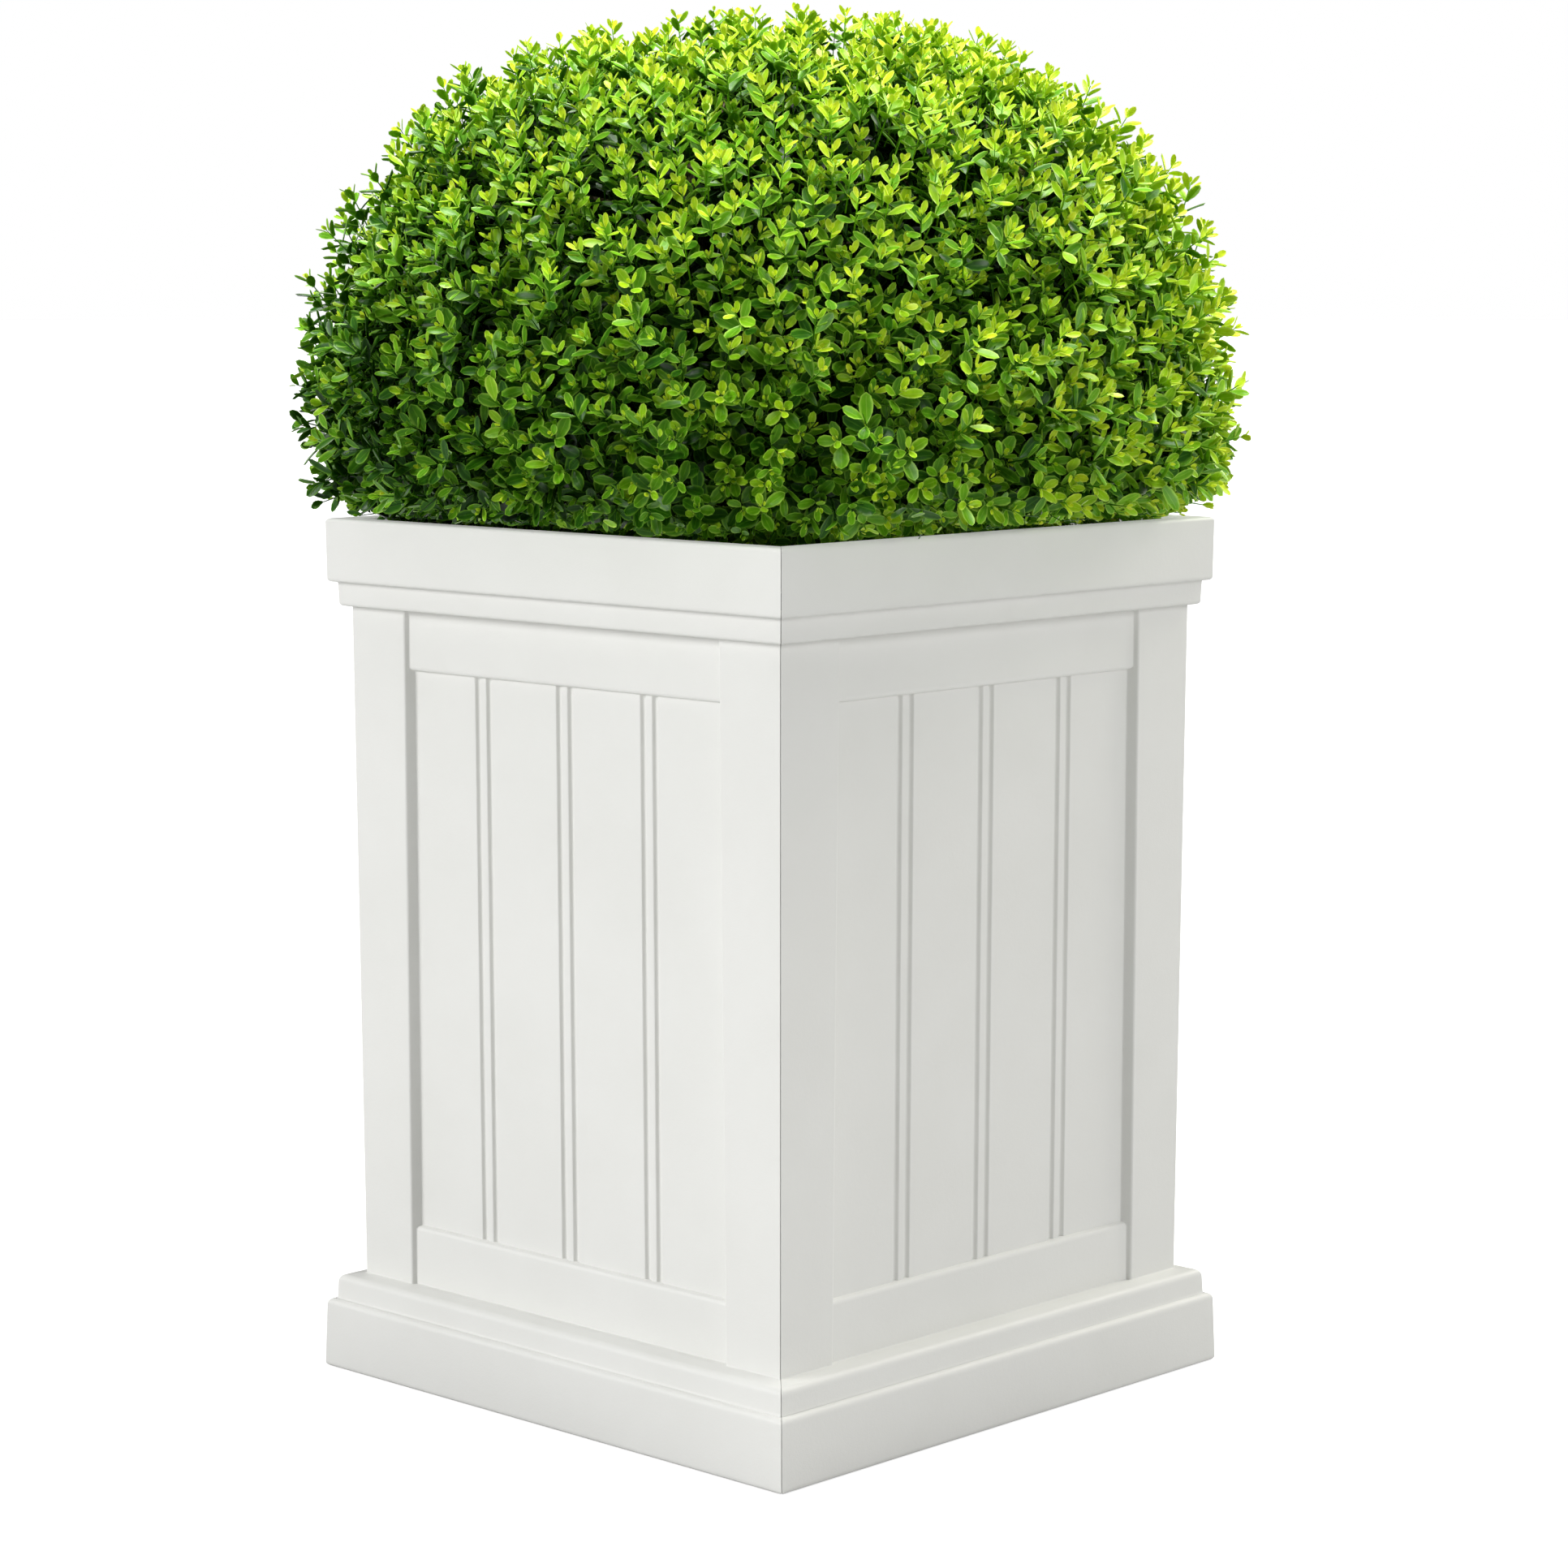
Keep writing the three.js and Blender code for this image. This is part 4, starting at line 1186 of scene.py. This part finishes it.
# %% Grow leaves on the sprigs
PAIRS = (  # distance from the tip, leaf length, leaf width, angle from the stem in degrees, youth
    (0.5, 6.0, 3.4, 12, 2.00),
    (3.0, 12.5, 5.8, 32, 1.20),
    (9.5, 17.5, 8.0, 45, 0.88),
    (18.5, 21.0, 9.4, 53, 0.62),
    (28.5, 22.0, 10.0, 58, 0.34),
)
TWIG_RADIUS, TWIG_LENGTH = 0.95, 46.0
leaf_rows, twig_rows = [], []


def grow(tips, headings, size, youth_and_light, pairs, open_out=1.0):
    """Put the leaves and the twig of every sprig on the lists. Pairs are in millimetres, before size."""
    count = len(tips)
    side = unit(np.cross(headings, rng.normal(size=(count, 3))))
    third = np.cross(headings, side)
    start = rng.uniform(0, 2 * math.pi, count)
    for number, (back, length, width, angle, young) in enumerate(pairs):
        turned = start + number * math.pi / 2 + rng.normal(0, 0.14, count)
        for opposite in (0, math.pi):
            around = turned + opposite + rng.normal(0, 0.1, count)
            outward = side * np.cos(around)[:, None] + third * np.sin(around)[:, None]
            tilt = np.radians(np.clip(angle * open_out + rng.normal(0, 7, count), 4, 88))[:, None]
            along = headings * np.cos(tilt) + outward * np.sin(tilt)
            facing = headings * np.sin(tilt) - outward * np.cos(tilt)
            roll = rng.normal(0, 0.2, count)[:, None]
            across = np.cross(along, facing) * np.cos(roll) + facing * np.sin(roll)
            facing = np.cross(across, along)
            scale = size * rng.uniform(0.84, 1.12, count) * MM
            slip = rng.normal(0, 0.5, count)
            base = tips - headings * ((back * size + slip) * MM)[:, None] + outward * 0.6 * MM
            tone = np.clip(young * youth_and_light + rng.normal(0, 0.05, count), 0, 1)
            broad = width * scale * rng.uniform(0.9, 1.12, count)
            leaf_rows.append(np.column_stack([base, along, across, facing, length * scale, broad, tone]))
    twig_length, twig_radius = TWIG_LENGTH * size * MM, TWIG_RADIUS * size * MM
    foot = tips - headings * twig_length[:, None]
    tone = np.clip(0.5 * youth_and_light, 0, 0.6)
    twig_rows.append(np.column_stack([foot, headings, side, third, twig_length, twig_radius, tone]))


def upward(normals, lift, scatter):
    """Directions that lean from the dome's normals towards the sky, with some disorder."""
    rise = np.zeros_like(normals)
    rise[:, 2] = lift
    return unit(normals + rise + rng.normal(0, scatter, normals.shape))


def painted_light_across(points):
    """Where points lie across the picture, from -1 on the camera's left to 1 on its right, for painted light.
    """
    return (points @ np.array(aside)) / DOME_RADIUS


print("leaves on a whole sprig", 2 * len(PAIRS))

# %% [markdown]
# The crown is what one sees: sprigs whose tips end at the clipped surface, with a slow swell that keeps the
# dome from looking turned. About one in five has grown past the surface. The sprigs get smaller and younger
# the higher they stand. Their leaves are also painted lighter higher up and towards the right of the
# picture, as painted light.

# %% Grow the crown
CROWN_COUNT = 3150
CROWN_LOW = HEM + 1 * MM
GROWN_SHARE, LONGEST, LONGEST_ON_TOP = 0.21, 25, 16  # millimetres past the surface
# Sprigs that end deep in the plant are coloured darker, partly for their age and partly as painted shade.
RECESSED = -12  # sprigs that end deeper than this are older
points, normals = spread(CROWN_COUNT, CROWN_LOW, DOME_TOP - 0.5 * MM, 5 * MM)
height = np.clip((points[:, 2] - CROWN_LOW) / (DOME_TOP - CROWN_LOW), 0, 1)
angle = np.arctan2(points[:, 1], points[:, 0])
swell = 4 * np.sin(3 * angle + 1.2) * np.sin(9 * height) + 3 * np.sin(7 * angle + 14 * height)
proud = np.clip(rng.normal(-8, 9, CROWN_COUNT) + swell, -30, 8)
grown = rng.random(CROWN_COUNT) < GROWN_SHARE
proud[grown] = rng.uniform(5, LONGEST, grown.sum())
proud = np.minimum(proud, np.where(height > 0.9, LONGEST_ON_TOP, LONGEST))
low_lift = np.where(points[:, 2] < BELLY, 0.10, 0.28)
headings = upward(normals, low_lift + 0.62 * height, 0.2)
# Painted light: besides their youth, the leaves are coloured lighter the higher they stand and towards the
# right of the picture.
youth_and_light = 0.40 + 0.48 * height + 0.22 * painted_light_across(points) + rng.normal(0, 0.10, CROWN_COUNT)
youth_and_light = np.clip(youth_and_light, 0.16, 1.05)
# Painted shade: the deep sprigs are darkened, besides being older.
youth_and_light = np.where(proud < RECESSED, youth_and_light * 0.7, youth_and_light)
size = (1.08 - 0.31 * height) * rng.uniform(0.9, 1.08, CROWN_COUNT)
grow(points + normals * (proud * MM)[:, None], headings, size, youth_and_light, PAIRS)
print("crown sprigs", CROWN_COUNT, "of which grown past the surface", int(grown.sum()))

# %% [markdown]
# Behind the crown there are two layers of older leaves, the deeper one larger and more spread out. They are
# coloured very dark, partly for their age and partly as painted shade. They close the gaps between the
# sprigs, so that one looks into shade and not through the plant.

# %% Grow the inner leaves
# The youth numbers of these deep layers also darken them as painted shade.
LAYERS = {  # sprigs, jitter, depth from and to, lift, disorder, size, youth, how far the leaves open out
    "inner": (1500, 10, 26, 50, 0.2, 0.45, 1.1, 0.12, 1.15),
    "core": (700, 14, 62, 96, 0.1, 0.6, 1.5, 0.05, 1.25),
}
layer_tips = {}
for name, (count, jitter, near, far, lift, scatter, size, youth_and_light, open_out) in LAYERS.items():
    points, normals = spread(count, CROWN_LOW + 8 * MM, DOME_TOP - 1 * MM, jitter * MM)
    tips = points - normals * (rng.uniform(near, far, count) * MM)[:, None]
    headings = upward(normals, lift, scatter)
    grow(tips, headings, np.full(count, size), np.full(count, youth_and_light), PAIRS[2:5], open_out)
    layer_tips[name] = tips
print("inner sprigs", {name: len(tips) for name, tips in layer_tips.items()})

# %% [markdown]
# The lowest leaves hang over the rim, and more of them fill its opening, so that no gap shows between the
# plant and the planter. None touches the plastic: whatever would reach into it is taken away afterwards.

# %% Fill the hem and the rim's opening
HEM_COUNT, NECK_COUNT = 720, 560
HEM_NEAR, HEM_FAR = 200 * MM, 334 * MM  # the hem's tips, from the middle
OPENING = RIM_HALF - RIM_TOP_WIDTH - 3 * MM
HANG = 0.13  # how steeply the hem rises outside the rim
# The low leaves' colour number is set below the crown's, partly for their age and partly as painted shade.
LOW_YOUTH_AND_LIGHT = 0.37


def low_youth_and_light(tips):
    """How young low leaves are, with painted light that makes them lighter towards the right of the picture.
    """
    return LOW_YOUTH_AND_LIGHT + 0.22 * painted_light_across(tips) + rng.normal(0, 0.09, len(tips))


around = np.arange(HEM_COUNT) * GOLDEN
reach = np.sqrt(rng.uniform(HEM_NEAR ** 2, HEM_FAR ** 2, HEM_COUNT))
tips = round_about(around, reach, TOP + rng.uniform(4, 22, HEM_COUNT) * MM)
rising = unit(round_about(around, np.ones(HEM_COUNT), rng.normal(0.0, 0.16, HEM_COUNT))
              + rng.normal(0, 0.2, (HEM_COUNT, 3)) * (1, 1, 0.3))
size = rng.uniform(0.88, 1.08, HEM_COUNT)
grow(tips, rising, size, low_youth_and_light(tips), PAIRS[:4])

square = rng.uniform(-1, 1, (NECK_COUNT, 2))
square *= (rng.uniform(0.6, 0.99, NECK_COUNT) / np.abs(square).max(axis=1))[:, None] * OPENING
tips = np.column_stack([square, TOP + rng.uniform(-5, 14, NECK_COUNT) * MM])
outward = unit(np.column_stack([square, np.zeros(NECK_COUNT)]))
rising = upward(outward, rng.uniform(0.1, 0.9, NECK_COUNT), 0.2)
size = rng.uniform(0.88, 1.08, NECK_COUNT)
grow(tips, rising, size, low_youth_and_light(tips), PAIRS[:4])
print("sprigs in the hem", HEM_COUNT, "and in the opening", NECK_COUNT)

# %% [markdown]
# The dome is so flat at its very top that the jitter pushes the sprigs there aside and leaves a bald spot.
# Three small discs of sprigs fill it, one for the crown and one for each layer behind it.

# %% Fill the bald spot at the top
# The youth numbers of the deeper discs also darken them as painted shade, and the top disc's lightens it as
# painted light.
TOP_DISCS = (  # sprigs, radius and depth in millimetres, size, youth, leaf pairs
    (18, 44, 4, 0.78, 0.88, PAIRS[:5]),
    (16, 72, 36, 1.1, 0.12, PAIRS[2:5]),
    (14, 96, 76, 1.5, 0.05, PAIRS[2:5]),
)
for count, disc, depth, size, youth_and_light, pairs in TOP_DISCS:
    spots = np.arange(count)
    out = disc * MM * np.sqrt((spots + 0.5) / count)
    tips = round_about(spots * GOLDEN, out, np.full(count, DOME_TOP - depth * MM))
    headings = upward(np.zeros((count, 3)), 1.0, 0.3)
    grow(tips, headings, np.full(count, size), np.full(count, youth_and_light), pairs)
print("sprigs at the top", [disc[0] for disc in TOP_DISCS])

# %% [markdown]
# Now each leaf gets its points: the pattern leaf, stretched, cupped and bent to its own measures. Whatever
# would touch the plastic, or stand too far out of the clipped plant, is left out.

# %% Place the leaves and keep them off the plastic
RIM_CLEAR, NECK_DEPTH = 1.5 * MM, 16 * MM
PAST_SIDE, PAST_TOP = 27 * MM, 18 * MM  # how far a sprig may stand out of the dome


def place_shapes(rows, pattern, bent):
    """The points of every leaf or twig in rows, as an array of shapes by points by three."""
    base, along, across, facing = (rows[:, None, k:k + 3] for k in (0, 3, 6, 9))
    length, width = rows[:, 12, None, None], rows[:, 13, None, None]
    x, y, z = (pattern[None, :, k, None] for k in (0, 1, 2))
    if not bent:
        return base + along * z * length + (across * x + facing * y) * width
    bend = rng.uniform(-0.03, 0.18, (len(rows), 1, 1))
    cup = rng.uniform(0.6, 1.7, (len(rows), 1, 1))
    return base + along * y * length + across * x * width + facing * length * (z * cup - bend * y ** 2)


def clear_of_plastic(shapes):
    """True for the shapes that stay inside the plant's own space."""
    out = np.abs(shapes[:, :, :2]).max(axis=2)
    lowest = TOP + RIM_CLEAR + HANG * np.maximum(out - RIM_HALF, 0)
    low = (shapes[:, :, 2] < lowest) & (out > OPENING)
    deep = shapes[:, :, 2] < TOP - NECK_DEPTH
    wide = np.hypot(shapes[:, :, 0], shapes[:, :, 1]) > DOME_RADIUS + PAST_SIDE
    high = shapes[:, :, 2] > DOME_TOP + PAST_TOP
    return ~(low | deep | wide | high).any(axis=1)


leaf_rows, twig_rows = np.concatenate(leaf_rows), np.concatenate(twig_rows)
leaf_shapes = place_shapes(leaf_rows, leaf_points, True)
twig_shapes = place_shapes(twig_rows, twig_points, False)
kept_leaves, kept_twigs = clear_of_plastic(leaf_shapes), clear_of_plastic(twig_shapes)
print("leaves", int(kept_leaves.sum()), "of", len(kept_leaves))
print("twigs", int(kept_twigs.sum()), "of", len(kept_twigs))

# %% [markdown]
# ## Leaves as meshes
#
# Tens of thousands of objects would be slow to draw and to export. The leaves are gathered into a few
# meshes, one for each slice of the dome, small enough to handle. Each point remembers two numbers for the
# finish: how young its leaf is, with painted light and shade mixed in, and how near to the blade's edge it
# lies. Every leaf also gets a cell of its own on the mesh's map, so that its colours can be baked later.

# %% Gather the leaves into slices
SLICES = 10
CELL_FILL = 0.9  # how much of its cell on the map a leaf takes
LEAF_SMOOTH = math.radians(60)


def gather(name, groups):
    """One mesh of many shapes. A group is its shapes, their youth with painted light, their points' edge
    numbers, its faces.
    """
    points, loops, starts, youth_and_light, edge, cells = [], [], [], [], [], []
    first_point, first_loop, first_cell = 0, 0, 0
    total = sum(len(shapes) for shapes, _, _, _ in groups)
    across = math.ceil(math.sqrt(2 * total))
    for shapes, tones, edges, faces in groups:
        count, corners = shapes.shape[:2]
        number = np.arange(count)[:, None]
        flat = np.concatenate([np.array(face) for face in faces])
        offsets = np.concatenate([[0], np.cumsum([len(face) for face in faces])[:-1]])
        points.append(shapes.reshape(-1, 3))
        loops.append((flat[None, :] + number * corners + first_point).ravel())
        starts.append((offsets[None, :] + number * len(flat) + first_loop).ravel())
        youth_and_light.append(np.repeat(tones, corners))
        edge.append(np.tile(edges, count))
        cells.append(cells_of(first_cell + 2 * number, faces, corners, across))
        first_point += count * corners
        first_loop += count * len(flat)
        first_cell += 2 * count
    mesh = bpy.data.meshes.new(name)
    mesh.vertices.add(first_point)
    mesh.vertices.foreach_set("co", np.concatenate(points).astype(np.float32).ravel())
    mesh.loops.add(first_loop)
    mesh.loops.foreach_set("vertex_index", np.concatenate(loops).astype(np.int32))
    starts = np.concatenate(starts).astype(np.int32)
    mesh.polygons.add(len(starts))
    mesh.polygons.foreach_set("loop_start", starts)
    mesh.update(calc_edges=True)
    for label, values in (("youth_and_light", youth_and_light), ("edge", edge)):
        layer = mesh.attributes.new(label, "FLOAT", "POINT")
        layer.data.foreach_set("value", np.concatenate(values).astype(np.float32))
    bake_map = mesh.uv_layers.new(name="OFBake")
    bake_map.data.foreach_set("uv", np.concatenate(cells).astype(np.float32).ravel())
    piece = bpy.data.objects.new(name, mesh)
    bpy.context.scene.collection.objects.link(piece)
    select_only(piece)
    bpy.ops.object.shade_smooth_by_angle(angle=LEAF_SMOOTH)
    return piece


def cells_of(number, faces, corners, across):
    """Where each corner of each face lies on the map: upper faces in one cell, lower ones in the next."""
    spots = {len(leaf_points): leaf_points[:, :2] + (0.5, 0), len(twig_points): None}[corners]
    halves, places = [], []
    for order, face in enumerate(faces):
        for step, point in enumerate(face):
            if spots is None:  # a twig's faces stand side by side in one cell
                halves.append(0)
                places.append(((order + (step in (1, 2))) / len(faces), float(step in (2, 3))))
            else:
                halves.append(int(order >= len(faces) // 2))
                places.append(spots[point])
    cell = number + np.array(halves)[None, :]
    origin = np.stack([cell % across, cell // across], axis=-1)
    return ((origin + (1 - CELL_FILL) / 2 + CELL_FILL * np.array(places)[None, :, :]) / across).reshape(-1, 2)


def slice_of(shapes):
    """The number of the slice that each shape lies in."""
    middle = shapes.mean(axis=1)
    turns = np.arctan2(middle[:, 1], middle[:, 0]) / (2 * math.pi)
    return np.floor(turns * SLICES).astype(int) % SLICES


leaf_shapes, leaf_youth_and_light = leaf_shapes[kept_leaves], leaf_rows[kept_leaves, 14]
twig_shapes, twig_youth_and_light = twig_shapes[kept_twigs], twig_rows[kept_twigs, 14]
leaf_slice, twig_slice = slice_of(leaf_shapes), slice_of(twig_shapes)
slices = []
for number in range(SLICES):
    mine, sticks = leaf_slice == number, twig_slice == number
    piece = gather(f"leaves_{number + 1}", [
        (leaf_shapes[mine], leaf_youth_and_light[mine], leaf_edge, leaf_faces),
        (twig_shapes[sticks], twig_youth_and_light[sticks], np.full(len(twig_points), TWIG_EDGE), twig_faces)])
    piece.data.materials.append(leaf_green)
    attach(piece, PLANT)
    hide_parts("box_foliage")
    slices.append(piece)
triangles = [sum(len(face.vertices) - 2 for face in piece.data.polygons) for piece in slices]
print("triangles in the slices", triangles)

# %% [markdown]
# Between the stems and the leaves run the branches. Through the gaps in the leaves one sees them only as
# dark lines, so straight three-sided sticks from the stems out to the inner sprigs are enough.

# %% Branch out from the stems
BRANCHES, BRANCH_RADIUS = 260, 2.0 * MM
FIRST_FORK, CLIMB = 3, 90 * MM  # the lowest knot that forks, and how far a branch likes to climb
inner_tips = layer_tips["inner"]
ends = inner_tips[rng.choice(len(inner_tips), BRANCHES, replace=False)]
joints = np.array([list(line[step]) for line in stem_lines for step in range(FIRST_FORK, STEM_STEPS + 1)])
lengths = np.linalg.norm(ends[:, None, :] - joints[None, :, :], axis=2)
wrong_climbs = np.abs(ends[:, None, 2] - CLIMB - joints[None, :, 2])
starts = joints[(lengths + 0.5 * wrong_climbs).argmin(axis=1)]
along = unit(ends - starts)
side = unit(np.cross(along, rng.normal(size=along.shape)))
branch_rows = np.column_stack([
    starts, along, side, np.cross(along, side), np.linalg.norm(ends - starts, axis=1),
    np.full(BRANCHES, BRANCH_RADIUS), np.zeros(BRANCHES)])
branch_shapes = place_shapes(branch_rows, twig_points, False)
branch_shapes = branch_shapes[clear_of_plastic(branch_shapes)]
branches = gather("branches", [
    (branch_shapes, np.zeros(len(branch_shapes)), np.zeros(len(twig_points)), twig_faces)])
branches.data.materials.append(bark)
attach(branches, PLANT)
print("branches", len(branch_shapes))

# %% [markdown]
# ## Which light lights what
#
# The plant's keys leave the walls out, and the walls' keys light nothing but the walls. The leaves reach
# out over the rim and would put it in their shade, which the soft light of a real studio would fill, so
# they are also told to let the walls' keys past.

# %% Share out the lights
def group_of(name, pieces, state):
    """A group of pieces for a light, either the only ones it means or the only ones it leaves out."""
    group = bpy.data.collections.new(name)
    for piece in pieces:
        group.objects.link(piece)
    for member in group.collection_objects:
        member.light_linking.link_state = state
    return group


only_walls = group_of("only_walls", walls, "INCLUDE")
all_but_walls = group_of("all_but_walls", walls, "EXCLUDE")
all_but_leaves = group_of("all_but_leaves", slices, "EXCLUDE")
for name in WALL_KEYS:
    bpy.data.objects[name].light_linking.receiver_collection = only_walls
    bpy.data.objects[name].light_linking.blocker_collection = all_but_leaves
for name in PLANT_KEYS:
    bpy.data.objects[name].light_linking.receiver_collection = all_but_walls
print("keys for the walls", list(WALL_KEYS), "and for the plant", list(PLANT_KEYS))
